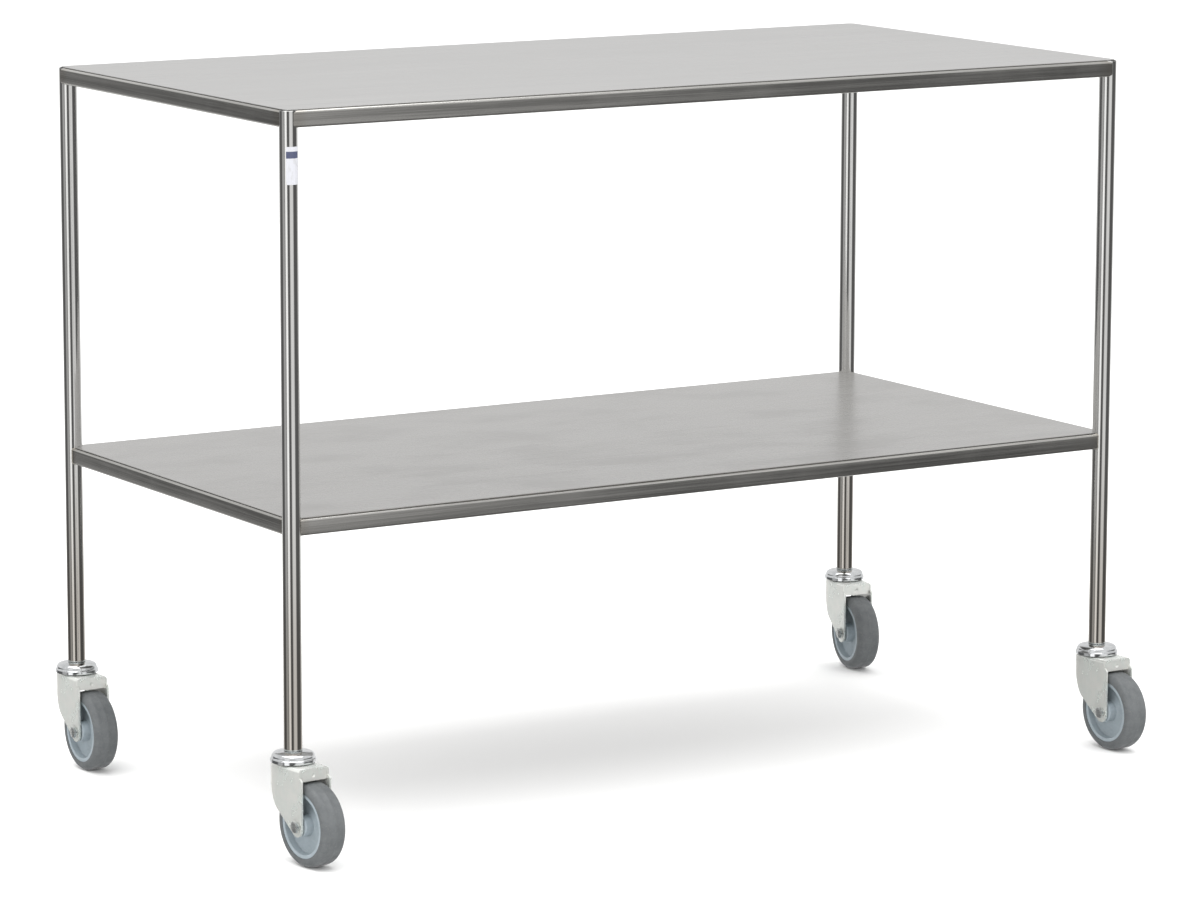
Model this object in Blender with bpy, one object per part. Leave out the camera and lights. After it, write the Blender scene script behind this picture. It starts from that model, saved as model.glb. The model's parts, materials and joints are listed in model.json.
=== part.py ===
"""Stainless steel work table on four swivel casters.

Four round tube legs carry two welded frames of square tube.  A sheet lies on each frame: the
worktop and the lower shelf.  A swivel caster is screwed into the foot of each leg.
Metres, +Z up.  The origin is on the floor, under the middle of the table's bounding box.
"""
import math

import bmesh
import bpy
from mathutils import Matrix, Vector

# Overall sizes
TOP_LENGTH = 1.200
TOP_WIDTH = 0.600
WORKTOP_HEIGHT = 0.888
SHELF_HEIGHT = 0.409

# Legs and frames
LEG_DIAMETER = 0.022
LEG_WALL = 0.0012
RAIL_SIZE = 0.020
RAIL_WALL = 0.0012
RAIL_CORNER = 0.003
SHELF_RAIL_SETBACK = 0.0046
SHEET_THICKNESS = 0.0012
STIFFENER_WIDTH = 0.060
STIFFENER_LIP = 0.012
STIFFENER_DEPTH = 0.016
STIFFENER_THICKNESS = 0.0015

# Blank label on one leg
LABEL_HEIGHT = 0.044
LABEL_WIDTH = 0.0165
LABEL_THICKNESS = 0.0002
LABEL_DROP = 0.043
LABEL_FACING = math.radians(270)

# Casters
WHEEL_RADIUS = 0.050
WHEEL_WIDTH = 0.032
TYRE_DEPTH = 0.0108
TYRE_SHOULDER = 0.0075
RIM_SET_IN = 0.0008
RIM_LIP = 0.0045
DISC_THICKNESS = 0.012
DISC_SLOPE = 0.003
HUB_RADIUS = 0.0125
HUB_STAND_OUT = 0.0012
CASTER_TRAIL = 0.038
FORK_THICKNESS = 0.0025
FORK_SIDE_ROOM = 0.003
FORK_FRONT_RADIUS = 0.027
FORK_BEND = 0.004
FORK_CROWN_ROOM = 0.0155
FORK_TIP_RADIUS = 0.010
FORK_TIP_DROP = 0.003
FORK_REAR = 0.009
FORK_FRONT_DROP = 0.014
FORK_BOW_REACH = 0.012
FORK_BOW_DROP = 0.024
FORK_HOLLOW_REACH = 0.014
FORK_HOLLOW_RISE = 0.022
FORK_THROAT_REACH = 0.003
FORK_THROAT_RISE = 0.0145
APRON_DISTANCE = 0.042
APRON_ROOM = 0.003
RACE_RADIUS = 0.0185
RACE_RISE = 0.0015
DOME_RADIUS = 0.027
DOME_HEIGHT = 0.0125
DOME_WALL = 0.0015
DOME_SHOULDER = 0.008
DOME_LIFT = 0.0012
BALL_CIRCLE_RADIUS = 0.0155
BALL_RADIUS = 0.0025
BALL_COUNT = 10
CAGE_WIRE_RADIUS = 0.0010
STEM_RADIUS = 0.005
STEM_HEAD_RADIUS = 0.010
STEM_HEAD_HEIGHT = 0.005
STEM_THREAD_LENGTH = 0.032
STEM_CHAMFER = 0.0012
PLUG_LENGTH = 0.040
PLUG_FLANGE = 0.0015
AXLE_RADIUS = 0.004
AXLE_HEAD_RADIUS = 0.0075
AXLE_HEAD_HEIGHT = 0.0050
AXLE_NUT_HEIGHT = 0.0055
SLEEVE_WALL = 0.0017

# How far each caster has swung round: the direction it trails in, from +X
CASTER_HEADINGS = {
    "front_left": math.radians(276.5),
    "front_right": math.radians(272.0),
    "back_left": math.radians(270.3),
    "back_right": math.radians(260.3),
}

# Clearances
JOINT_GAP = 0.0003
STEM_CLEARANCE = 0.0006
HEAD_CLEARANCE = 0.0004
OVERLAP = 0.0005
CUTTER_MARGIN = 0.010
SAME_HEIGHT = 0.00005
MERGE_DISTANCE = 0.000001

# Facets
LEG_FACETS = 24
WHEEL_FACETS = 20
DOME_FACETS = 20
BOLT_FACETS = 16
HEX_FACETS = 6
CORNER_STEPS = 2
BEND_STEPS = 1
SHOULDER_STEPS = 2
FRONT_STEPS = 8
EDGE_STEPS = 6
ROUND_PROFILE = 0.5
SMOOTH_ANGLE = math.radians(35)

# Sizes that follow
LEG_RADIUS = LEG_DIAMETER / 2
LEG_X = TOP_LENGTH / 2 - LEG_RADIUS
LEG_Y = TOP_WIDTH / 2 - LEG_RADIUS
TOP_RAIL_OUT = LEG_RADIUS
SHELF_RAIL_OUT = LEG_RADIUS - SHELF_RAIL_SETBACK
TOP_RAIL_TOP = WORKTOP_HEIGHT - SHEET_THICKNESS - JOINT_GAP
SHELF_RAIL_TOP = SHELF_HEIGHT - SHEET_THICKNESS - JOINT_GAP

AXLE_HEIGHT = WHEEL_RADIUS
FORK_HALF = WHEEL_WIDTH / 2 + FORK_SIDE_ROOM + FORK_THICKNESS
FORK_INNER_HALF = FORK_HALF - FORK_THICKNESS
CROWN_UNDERSIDE = AXLE_HEIGHT + WHEEL_RADIUS + FORK_CROWN_ROOM
CROWN_TOP = CROWN_UNDERSIDE + FORK_THICKNESS
APRON_BOTTOM = AXLE_HEIGHT + WHEEL_RADIUS + APRON_ROOM
DOME_BOTTOM = CROWN_TOP + DOME_LIFT
DOME_TOP = DOME_BOTTOM + DOME_HEIGHT
LEG_BOTTOM = DOME_TOP + PLUG_FLANGE + 2 * JOINT_GAP
SLEEVE_BORE = AXLE_RADIUS + JOINT_GAP
SLEEVE_RADIUS = SLEEVE_BORE + SLEEVE_WALL
HUB_BORE = SLEEVE_RADIUS + JOINT_GAP
TYRE_SEAT_RADIUS = WHEEL_RADIUS - TYRE_DEPTH

FRONT_REACH = LEG_Y + CASTER_TRAIL + WHEEL_RADIUS
BACK_REACH = LEG_Y + max(DOME_RADIUS, FORK_FRONT_RADIUS)
TABLE_CENTRE = Vector((0, (FRONT_REACH - BACK_REACH) / 2, 0))

CORNERS = {
    "front_left": (-1, -1),
    "front_right": (1, -1),
    "back_left": (-1, 1),
    "back_right": (1, 1),
}
SIDES = {"front": 0, "right": math.pi / 2, "back": math.pi, "left": -math.pi / 2}

COLOURS = {
    "polished_tube": ((0.62, 0.61, 0.59), 0.16, 1.0),
    "satin_tube": ((0.50, 0.49, 0.47), 0.30, 1.0),
    "brushed_sheet": ((0.66, 0.66, 0.65), 0.36, 1.0),
    "folded_sheet": ((0.55, 0.55, 0.54), 0.40, 1.0),
    "bright_zinc": ((0.70, 0.71, 0.68), 0.32, 1.0),
    "chrome": ((0.80, 0.81, 0.82), 0.10, 1.0),
    "steel": ((0.55, 0.55, 0.56), 0.30, 1.0),
    "grey_nylon": ((0.30, 0.33, 0.37), 0.45, 0.0),
    "grey_rubber": ((0.18, 0.19, 0.20), 0.60, 0.0),
    "white_label": ((0.85, 0.86, 0.88), 0.50, 0.0),
}


# ---------------------------------------------------------------------------------------------
# Shapes


def circle_points(centre, radius, start, end, steps):
    """Points on an arc, both ends included."""
    angles = [start + (end - start) * k / steps for k in range(steps + 1)]
    return [(centre[0] + radius * math.cos(a), centre[1] + radius * math.sin(a)) for a in angles]


def rounded_rectangle(half_u, half_v, radius, steps):
    """A closed outline, anticlockwise, with an arc at each corner."""
    outline = []
    corner_signs = ((1, 1), (-1, 1), (-1, -1), (1, -1))
    for quarter, (sign_u, sign_v) in enumerate(corner_signs):
        centre = (sign_u * (half_u - radius), sign_v * (half_v - radius))
        start = quarter * math.pi / 2
        outline += circle_points(centre, radius, start, start + math.pi / 2, steps)
    return outline


def cubic_points(start, first, second, end, steps):
    """Points on a cubic curve, both ends included."""
    points = []
    for k in range(steps + 1):
        t = k / steps
        weights = ((1 - t) ** 3, 3 * t * (1 - t) ** 2, 3 * t * t * (1 - t), t ** 3)
        corners = (start, first, second, end)
        points.append(tuple(sum(w * c[i] for w, c in zip(weights, corners)) for i in (0, 1)))
    return points


def tangent_angle(point, centre, radius):
    """Angle on a circle where a line from the point touches its lower side."""
    across = centre[0] - point[0]
    down = centre[1] - point[1]
    distance = math.hypot(across, down)
    return math.atan2(-down, -across) + math.acos(radius / distance)


def prism(outline, low, high):
    """A closed solid: the outline in XY, run from low to high in Z."""
    mesh = bmesh.new()
    bottom = mesh.faces.new([mesh.verts.new((u, v, low)) for u, v in outline])
    raised = bmesh.ops.extrude_face_region(mesh, geom=[bottom])
    moved = [item for item in raised["geom"] if isinstance(item, bmesh.types.BMVert)]
    bmesh.ops.translate(mesh, vec=(0, 0, high - low), verts=moved)
    bmesh.ops.recalc_face_normals(mesh, faces=mesh.faces)
    return mesh


def tube(outer, inner, low, high):
    """A closed wall between two outlines with the same number of points, open at both ends."""
    mesh = bmesh.new()
    rings = []
    for outline, height in ((outer, low), (outer, high), (inner, high), (inner, low)):
        rings.append([mesh.verts.new((u, v, height)) for u, v in outline])
    count = len(outer)
    for first, second in zip(rings, rings[1:] + rings[:1]):
        for k in range(count):
            following = (k + 1) % count
            mesh.faces.new((first[k], first[following], second[following], second[k]))
    bmesh.ops.recalc_face_normals(mesh, faces=mesh.faces)
    return mesh


def turned(profile, facets, closed):
    """A profile of (radius, height) turned about Z, with a facet facing each main axis."""
    mesh = bmesh.new()
    rings = []
    for radius, height in profile:
        if radius == 0:
            rings.append([mesh.verts.new((0, 0, height))])
            continue
        ring = []
        for k in range(facets):
            angle = (k + 0.5) * math.tau / facets
            ring.append(mesh.verts.new((radius * math.cos(angle), radius * math.sin(angle), height)))
        rings.append(ring)
    pairs = list(zip(rings, rings[1:]))
    if closed:
        pairs.append((rings[-1], rings[0]))
    for first, second in pairs:
        for k in range(facets):
            following = (k + 1) % facets
            corners = [first[k % len(first)], first[following % len(first)]]
            corners += [second[following % len(second)], second[k % len(second)]]
            mesh.faces.new(list(dict.fromkeys(corners)))
    bmesh.ops.recalc_face_normals(mesh, faces=mesh.faces)
    return mesh


def round_outline(radius, facets):
    """A regular outline about the origin, laid out as turned() lays it out."""
    angles = [(k + 0.5) * math.tau / facets for k in range(facets)]
    return [(radius * math.cos(a), radius * math.sin(a)) for a in angles]


def soften_top(mesh, height, width):
    """Round the edges round the face at the given height."""
    rim = [
        edge
        for edge in mesh.edges
        if all(abs(vert.co.z - height) < SAME_HEIGHT for vert in edge.verts)
    ]
    bmesh.ops.bevel(
        mesh, geom=rim, offset=width, segments=BEND_STEPS, profile=ROUND_PROFILE, affect="EDGES"
    )
    return mesh


def as_mesh(shape, name):
    """Turn a working shape into mesh data."""
    data = bpy.data.meshes.new(name)
    shape.to_mesh(data)
    shape.free()
    return data


def combine(body, tool, operation, name):
    """Cut, join or intersect two shapes with an exact Boolean."""
    body_object = bpy.data.objects.new(name + "_body", as_mesh(body, name))
    tool_object = bpy.data.objects.new(name + "_cutter", as_mesh(tool, name + "_cutter"))
    for item in (body_object, tool_object):
        bpy.context.scene.collection.objects.link(item)
    cut = body_object.modifiers.new("cut", "BOOLEAN")
    cut.operation = operation
    cut.solver = "EXACT"
    cut.object = tool_object
    bpy.context.view_layer.update()
    graph = bpy.context.evaluated_depsgraph_get()
    result = bmesh.new()
    result.from_object(body_object, graph)
    bpy.data.objects.remove(body_object)
    bpy.data.objects.remove(tool_object)
    bmesh.ops.remove_doubles(result, verts=result.verts, dist=MERGE_DISTANCE)
    return result


def turn_shape(mesh, angle, axis):
    """Turn a working shape about an axis through the origin."""
    bmesh.ops.rotate(mesh, verts=mesh.verts, matrix=Matrix.Rotation(angle, 3, axis))
    return mesh


def shift_shape(mesh, offset):
    """Move a working shape."""
    bmesh.ops.translate(mesh, verts=mesh.verts, vec=offset)
    return mesh


# ---------------------------------------------------------------------------------------------
# Objects


def make_material(name):
    colour, roughness, metallic = COLOURS[name]
    material = bpy.data.materials.new(name)
    material.use_nodes = True
    shader = material.node_tree.nodes["Principled BSDF"]
    shader.inputs["Base Color"].default_value = (*colour, 1.0)
    shader.inputs["Roughness"].default_value = roughness
    shader.inputs["Metallic"].default_value = metallic
    return material


def finished(shape, name, finish):
    """Mesh data with its material, shaded smooth except at sharp corners."""
    data = as_mesh(shape, name)
    data.shade_smooth()
    data.set_sharp_from_angle(angle=SMOOTH_ANGLE)
    data.materials.append(make_material(finish))
    return data


def place(name, data, parent, location=(0, 0, 0), turn=0.0):
    """Put a piece in the scene under its parent."""
    item = bpy.data.objects.new(name, data.copy())
    item.data.materials[0] = data.materials[0].copy()
    item.location = location
    item.rotation_euler = (0, 0, turn)
    item.parent = parent
    bpy.context.scene.collection.objects.link(item)
    return item


def pivot(name, parent, location, turn=0.0):
    """An empty that holds a joint's axis."""
    empty = bpy.data.objects.new(name, None)
    empty.location = location
    empty.rotation_euler = (0, 0, turn)
    empty.parent = parent
    bpy.context.scene.collection.objects.link(empty)
    return empty


# ---------------------------------------------------------------------------------------------
# Table


def leg_mesh():
    """Round tube, open at both ends; the sheet covers its top and a plug closes its foot."""
    outer = round_outline(LEG_RADIUS, LEG_FACETS)
    inner = round_outline(LEG_RADIUS - LEG_WALL, LEG_FACETS)
    return finished(tube(outer, inner, LEG_BOTTOM, TOP_RAIL_TOP), "leg", "polished_tube")


def rail_end_cutter(out, mirrored):
    """What the end of a rail loses: the leg's round, and all past the mitre behind it."""
    reach = RAIL_SIZE + CUTTER_MARGIN
    radius = LEG_RADIUS + JOINT_GAP
    outline = circle_points((0, 0), radius, math.pi / 2, math.pi * 5 / 4, LEG_FACETS // 2)
    corner = outline[-1]
    outline[-1] = (corner[0] - JOINT_GAP, corner[1])
    outline += [(-reach - JOINT_GAP, -reach), (reach, -reach), (reach, out + reach), (0, out + reach)]
    side = -1 if mirrored else 1
    cutter = prism(outline, -CUTTER_MARGIN, RAIL_SIZE + CUTTER_MARGIN)
    bmesh.ops.scale(cutter, vec=(side, -1, 1), verts=cutter.verts)
    bmesh.ops.recalc_face_normals(cutter, faces=cutter.faces)
    return cutter


def rail_mesh(name, span, out):
    """Square tube from leg to leg along X, its outer face at -Y, coped round the legs."""
    half = RAIL_SIZE / 2
    outer = rounded_rectangle(half, half, RAIL_CORNER, CORNER_STEPS)
    inner = rounded_rectangle(
        half - RAIL_WALL, half - RAIL_WALL, RAIL_CORNER - RAIL_WALL, CORNER_STEPS
    )
    bar = tube(outer, inner, -span / 2 - half, span / 2 + half)
    turn_shape(bar, math.pi / 2, "Y")
    shift_shape(bar, (0, half - out, half))
    for side in (1, -1):
        cutter = shift_shape(rail_end_cutter(out, side < 0), (side * span / 2, 0, 0))
        bar = combine(bar, cutter, "DIFFERENCE", name)
    return finished(bar, name, "satin_tube")


def worktop_mesh():
    """Sheet laid on the top frame and over the leg tops, its edge where the rail turns down."""
    half_x = TOP_LENGTH / 2 - RAIL_CORNER
    half_y = TOP_WIDTH / 2 - RAIL_CORNER
    outline = rounded_rectangle(half_x, half_y, LEG_RADIUS - RAIL_CORNER, EDGE_STEPS)
    sheet = prism(outline, WORKTOP_HEIGHT - SHEET_THICKNESS, WORKTOP_HEIGHT)
    return finished(sheet, "worktop", "brushed_sheet")


def shelf_mesh():
    """Sheet laid on the lower frame, notched round the four legs."""
    half_x = LEG_X + SHELF_RAIL_OUT - RAIL_CORNER
    half_y = LEG_Y + SHELF_RAIL_OUT - RAIL_CORNER
    corners = [(half_x, half_y), (-half_x, half_y), (-half_x, -half_y), (half_x, -half_y)]
    sheet = prism(corners, SHELF_HEIGHT - SHEET_THICKNESS, SHELF_HEIGHT)
    low = SHELF_HEIGHT - SHEET_THICKNESS - CUTTER_MARGIN
    for sign_x, sign_y in CORNERS.values():
        hole = prism(
            round_outline(LEG_RADIUS + JOINT_GAP, LEG_FACETS), low, SHELF_HEIGHT + CUTTER_MARGIN
        )
        shift_shape(hole, (sign_x * LEG_X, sign_y * LEG_Y, 0))
        sheet = combine(sheet, hole, "DIFFERENCE", "shelf")
    return finished(sheet, "shelf", "brushed_sheet")


def stiffener_mesh(name, length):
    """Hat section under a sheet, its lips against the sheet, run along X."""
    half = STIFFENER_WIDTH / 2
    wall = STIFFENER_THICKNESS
    lip = half + STIFFENER_LIP
    right = [(half, -wall), (lip, -wall), (lip, 0), (half - wall, 0)]
    right.append((half - wall, wall - STIFFENER_DEPTH))
    right_edge = [(half, -STIFFENER_DEPTH)] + right
    left_edge = [(-u, v) for u, v in reversed(right_edge)]
    hat = prism(right_edge + left_edge, -length / 2, length / 2)
    turn_shape(hat, math.pi / 2, "X")
    turn_shape(hat, math.pi / 2, "Z")
    return finished(hat, name, "folded_sheet")


def label_mesh():
    """Thin blank label that wraps part of a leg."""
    radius = LEG_RADIUS + JOINT_GAP
    half_angle = LABEL_WIDTH / radius / 2
    start, end = LABEL_FACING - half_angle, LABEL_FACING + half_angle
    outline = circle_points((0, 0), radius + LABEL_THICKNESS, start, end, EDGE_STEPS)
    outline += circle_points((0, 0), radius, end, start, EDGE_STEPS)
    high = WORKTOP_HEIGHT - LABEL_DROP
    return finished(prism(outline, high - LABEL_HEIGHT, high), "leg_label", "white_label")


# ---------------------------------------------------------------------------------------------
# Caster pieces that stay with the table.  Heights are above the floor, about the leg's axis.


def plug_mesh():
    """Threaded insert: a flange under the tube, a body inside it and a bore for the stem."""
    body = LEG_RADIUS - LEG_WALL - JOINT_GAP
    bore = STEM_RADIUS + JOINT_GAP
    flange_low = DOME_TOP + JOINT_GAP
    flange_high = LEG_BOTTOM - JOINT_GAP
    top = LEG_BOTTOM + PLUG_LENGTH
    profile = [(bore, flange_low), (LEG_RADIUS, flange_low), (LEG_RADIUS, flange_high)]
    profile += [(body, flange_high), (body, top), (bore, top)]
    return finished(turned(profile, BOLT_FACETS, True), "plug", "steel")


def stem_mesh():
    """Threaded stem up into the plug, with a peened head under the fork's crown."""
    head_top = CROWN_UNDERSIDE - HEAD_CLEARANCE
    head_low = head_top - STEM_HEAD_HEIGHT
    top = DOME_TOP + STEM_THREAD_LENGTH
    profile = [(0, head_low), (STEM_HEAD_RADIUS - STEM_CHAMFER, head_low)]
    profile += [(STEM_HEAD_RADIUS, head_low + STEM_CHAMFER), (STEM_HEAD_RADIUS, head_top)]
    profile += [(STEM_RADIUS, head_top), (STEM_RADIUS, top - STEM_CHAMFER)]
    profile += [(STEM_RADIUS - STEM_CHAMFER, top), (0, top)]
    return finished(turned(profile, BOLT_FACETS, False), "stem", "steel")


def dome_mesh():
    """Pressed cap over the ball race, with a round shoulder and a short skirt."""
    bore = STEM_RADIUS + JOINT_GAP
    outer_centre = (DOME_RADIUS - DOME_SHOULDER, DOME_TOP - DOME_SHOULDER)
    outer = circle_points(outer_centre, DOME_SHOULDER, 0, math.pi / 2, SHOULDER_STEPS)
    inner_radius = DOME_SHOULDER - DOME_WALL
    inner = circle_points(outer_centre, inner_radius, math.pi / 2, 0, SHOULDER_STEPS)
    profile = [(DOME_RADIUS, DOME_BOTTOM)] + outer + [(bore, DOME_TOP)]
    profile += [(bore, DOME_TOP - DOME_WALL)] + inner + [(DOME_RADIUS - DOME_WALL, DOME_BOTTOM)]
    return finished(turned(profile, DOME_FACETS, True), "dome", "chrome")


# ---------------------------------------------------------------------------------------------
# Caster pieces that swivel.  +X is the way the caster trails.


def ball_ring_mesh():
    """Balls on one cage wire: a ring whose section swells at each ball."""
    centre_height = CROWN_TOP + RACE_RISE + JOINT_GAP + BALL_RADIUS
    stations = ((-BALL_RADIUS, CAGE_WIRE_RADIUS), (0.0, BALL_RADIUS), (BALL_RADIUS, CAGE_WIRE_RADIUS))
    spacing = BALL_CIRCLE_RADIUS * math.tau / BALL_COUNT
    along = [(k * spacing + s, r) for k in range(BALL_COUNT) for s, r in stations]
    mesh = bmesh.new()
    rings = []
    for distance, radius in along:
        angle = distance / BALL_CIRCLE_RADIUS
        section = round_outline(radius, HEX_FACETS)
        turn = Matrix.Rotation(angle, 3, "Z")
        points = [turn @ Vector((BALL_CIRCLE_RADIUS + u, 0, centre_height + v)) for u, v in section]
        rings.append([mesh.verts.new(point) for point in points])
    for first, second in zip(rings, rings[1:] + rings[:1]):
        for k in range(HEX_FACETS):
            following = (k + 1) % HEX_FACETS
            mesh.faces.new((first[k], first[following], second[following], second[k]))
    bmesh.ops.recalc_face_normals(mesh, faces=mesh.faces)
    return finished(mesh, "ball_ring", "steel")


def fork_plan(half_width, front_radius, rear):
    """The fork seen from above: round in front, straight sides, cut off square behind."""
    spread = math.asin(half_width / front_radius)
    start, end = math.pi - spread, math.pi + spread
    front = circle_points((0, 0), front_radius, start, end, FRONT_STEPS)
    return [(rear, half_width)] + front + [(rear, -half_width)]


def fork_side():
    """The fork seen from the side: (distance behind the stem, height)."""
    rear = CASTER_TRAIL + FORK_REAR
    above = CROWN_TOP + RACE_RISE + CUTTER_MARGIN
    start = (-FORK_FRONT_RADIUS - OVERLAP, CROWN_TOP - FORK_FRONT_DROP)
    bow = (-FORK_BOW_REACH, CROWN_TOP - FORK_BOW_DROP)
    hollow = (-FORK_HOLLOW_REACH, AXLE_HEIGHT + FORK_HOLLOW_RISE)
    end = (-FORK_THROAT_REACH, AXLE_HEIGHT + FORK_THROAT_RISE)
    tip = (rear - FORK_TIP_RADIUS, AXLE_HEIGHT - FORK_TIP_DROP)
    touch = tangent_angle(end, tip, FORK_TIP_RADIUS) % math.tau
    ease = rear - APRON_DISTANCE
    outline = cubic_points(start, bow, hollow, end, EDGE_STEPS)
    outline += circle_points(tip, FORK_TIP_RADIUS, touch, math.tau, EDGE_STEPS)
    outline += [(rear, APRON_BOTTOM), (APRON_DISTANCE, APRON_BOTTOM + ease)]
    outline += [(APRON_DISTANCE, above), (start[0], above)]
    return outline


def fork_mesh():
    """One pressed plate: crown with raised race, two cheeks, round front and an apron behind."""
    rear = CASTER_TRAIL + FORK_REAR
    lowest = AXLE_HEIGHT - 2 * FORK_TIP_RADIUS
    shell = prism(fork_plan(FORK_HALF, FORK_FRONT_RADIUS, rear + OVERLAP), lowest, CROWN_TOP)
    soften_top(shell, CROWN_TOP, FORK_BEND)
    inner_radius = FORK_FRONT_RADIUS - FORK_THICKNESS
    room = prism(
        fork_plan(FORK_INNER_HALF, inner_radius, rear + CUTTER_MARGIN),
        lowest - CUTTER_MARGIN,
        CROWN_UNDERSIDE,
    )
    soften_top(room, CROWN_UNDERSIDE, FORK_BEND - FORK_THICKNESS)
    fork = combine(shell, room, "DIFFERENCE", "fork")
    side = turn_shape(prism(fork_side(), -FORK_HALF - OVERLAP, FORK_HALF + OVERLAP), math.pi / 2, "X")
    fork = combine(fork, side, "INTERSECT", "fork")
    apron_back = APRON_DISTANCE - OVERLAP
    apron_front = apron_back - FORK_THICKNESS
    apron_half = FORK_INNER_HALF + OVERLAP
    apron_plan = [(apron_front, -apron_half), (apron_back, -apron_half)]
    apron_plan += [(apron_back, apron_half), (apron_front, apron_half)]
    apron = prism(apron_plan, APRON_BOTTOM, CROWN_UNDERSIDE + OVERLAP)
    fork = combine(fork, apron, "UNION", "fork")
    race = prism(round_outline(RACE_RADIUS, DOME_FACETS), CROWN_TOP - OVERLAP, CROWN_TOP + RACE_RISE)
    fork = combine(fork, race, "UNION", "fork")
    stem_hole = prism(
        round_outline(STEM_RADIUS + STEM_CLEARANCE, BOLT_FACETS),
        CROWN_UNDERSIDE - OVERLAP,
        CROWN_TOP + CUTTER_MARGIN,
    )
    fork = combine(fork, stem_hole, "DIFFERENCE", "fork")
    half = FORK_HALF + CUTTER_MARGIN
    axle_hole = prism(round_outline(AXLE_RADIUS + JOINT_GAP, BOLT_FACETS), -half, half)
    turn_shape(axle_hole, math.pi / 2, "X")
    shift_shape(axle_hole, (CASTER_TRAIL, 0, AXLE_HEIGHT))
    fork = combine(fork, axle_hole, "DIFFERENCE", "fork")
    return finished(fork, "fork", "bright_zinc")


# Axle and wheel pieces.  They are turned about Z and then laid along Y, about the axle.


def laid_on_axle(shape):
    return turn_shape(shape, math.pi / 2, "X")


def axle_bolt_mesh():
    """Hexagon bolt through the fork, its head on one cheek."""
    seat = FORK_HALF + JOINT_GAP
    end = seat + AXLE_NUT_HEIGHT + JOINT_GAP
    shank = turned(
        [(0, -end), (AXLE_RADIUS, -end), (AXLE_RADIUS, seat + OVERLAP), (0, seat + OVERLAP)],
        BOLT_FACETS,
        False,
    )
    head = prism(round_outline(AXLE_HEAD_RADIUS, HEX_FACETS), seat, seat + AXLE_HEAD_HEIGHT)
    return finished(laid_on_axle(combine(shank, head, "UNION", "bolt")), "axle_bolt", "steel")


def axle_nut_mesh():
    """Hexagon nut on the bolt's far end."""
    seat = FORK_HALF + JOINT_GAP
    bore = AXLE_RADIUS + JOINT_GAP
    body = prism(round_outline(AXLE_HEAD_RADIUS, HEX_FACETS), -seat - AXLE_NUT_HEIGHT, -seat)
    hole = prism(
        round_outline(bore, BOLT_FACETS), -seat - AXLE_NUT_HEIGHT - CUTTER_MARGIN, CUTTER_MARGIN - seat
    )
    return finished(laid_on_axle(combine(body, hole, "DIFFERENCE", "nut")), "axle_nut", "steel")


def axle_sleeve_mesh():
    """Spacer tube between the cheeks; the wheel turns on it."""
    half = FORK_INNER_HALF - JOINT_GAP
    outer = round_outline(SLEEVE_RADIUS, BOLT_FACETS)
    inner = round_outline(SLEEVE_BORE, BOLT_FACETS)
    return finished(laid_on_axle(tube(outer, inner, -half, half)), "axle_sleeve", "steel")


def wheel_core_mesh():
    """Moulded centre: hub, thin disc and a rim with a lip on each side."""
    seat = TYRE_SEAT_RADIUS - JOINT_GAP
    rim_half = WHEEL_WIDTH / 2 - RIM_SET_IN
    disc_half = DISC_THICKNESS / 2
    hub_half = WHEEL_WIDTH / 2 + HUB_STAND_OUT
    one_side = [(seat, rim_half), (seat - RIM_LIP, rim_half)]
    one_side += [(seat - RIM_LIP - DISC_SLOPE, disc_half), (HUB_RADIUS + DISC_SLOPE, disc_half)]
    one_side += [(HUB_RADIUS, hub_half), (HUB_BORE, hub_half)]
    profile = one_side + [(r, -z) for r, z in reversed(one_side)]
    return finished(laid_on_axle(turned(profile, WHEEL_FACETS, True)), "wheel_core", "grey_nylon")


def tyre_mesh():
    """Solid tyre with a flat tread and round shoulders; a flat of the tread meets the floor."""
    to_vertex = 1 / math.cos(math.pi / WHEEL_FACETS)
    half = WHEEL_WIDTH / 2
    centre = (WHEEL_RADIUS - TYRE_SHOULDER, half - TYRE_SHOULDER)
    shoulder = circle_points(centre, TYRE_SHOULDER, 0, math.pi / 2, SHOULDER_STEPS)
    one_side = [(r * to_vertex, z) for r, z in shoulder] + [(TYRE_SEAT_RADIUS, half)]
    profile = one_side + [(r, -z) for r, z in reversed(one_side)]
    return finished(laid_on_axle(turned(profile, WHEEL_FACETS, True)), "tyre", "grey_rubber")


# ---------------------------------------------------------------------------------------------
# Assembly


def build_table():
    table = pivot("table_frame", None, TABLE_CENTRE)
    leg = leg_mesh()
    for corner, (sign_x, sign_y) in CORNERS.items():
        place("leg_" + corner, leg, table, (sign_x * LEG_X, sign_y * LEG_Y, 0))
    levels = (
        ("top_rail", TOP_RAIL_OUT, TOP_RAIL_TOP, "worktop_stiffener"),
        ("shelf_rail", SHELF_RAIL_OUT, SHELF_RAIL_TOP, "shelf_stiffener"),
    )
    for level, out, top, stiffener_name in levels:
        long_rail = rail_mesh(level + "_long", 2 * LEG_X, out)
        short_rail = rail_mesh(level + "_short", 2 * LEG_Y, out)
        for side, turn in SIDES.items():
            lengthwise = side in ("front", "back")
            distance = LEG_Y if lengthwise else LEG_X
            outward = Matrix.Rotation(turn, 3, "Z") @ Vector((0, -distance, 0))
            location = outward + Vector((0, 0, top - RAIL_SIZE))
            place(f"{level}_{side}", long_rail if lengthwise else short_rail, table, location, turn)
        stiffener = stiffener_mesh(stiffener_name, 2 * (LEG_X + out - RAIL_SIZE - JOINT_GAP))
        place(stiffener_name, stiffener, table, (0, 0, top))
    place("worktop", worktop_mesh(), table)
    place("shelf", shelf_mesh(), table)
    place("leg_label", label_mesh(), table, (-LEG_X, -LEG_Y, 0))
    return table


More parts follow.
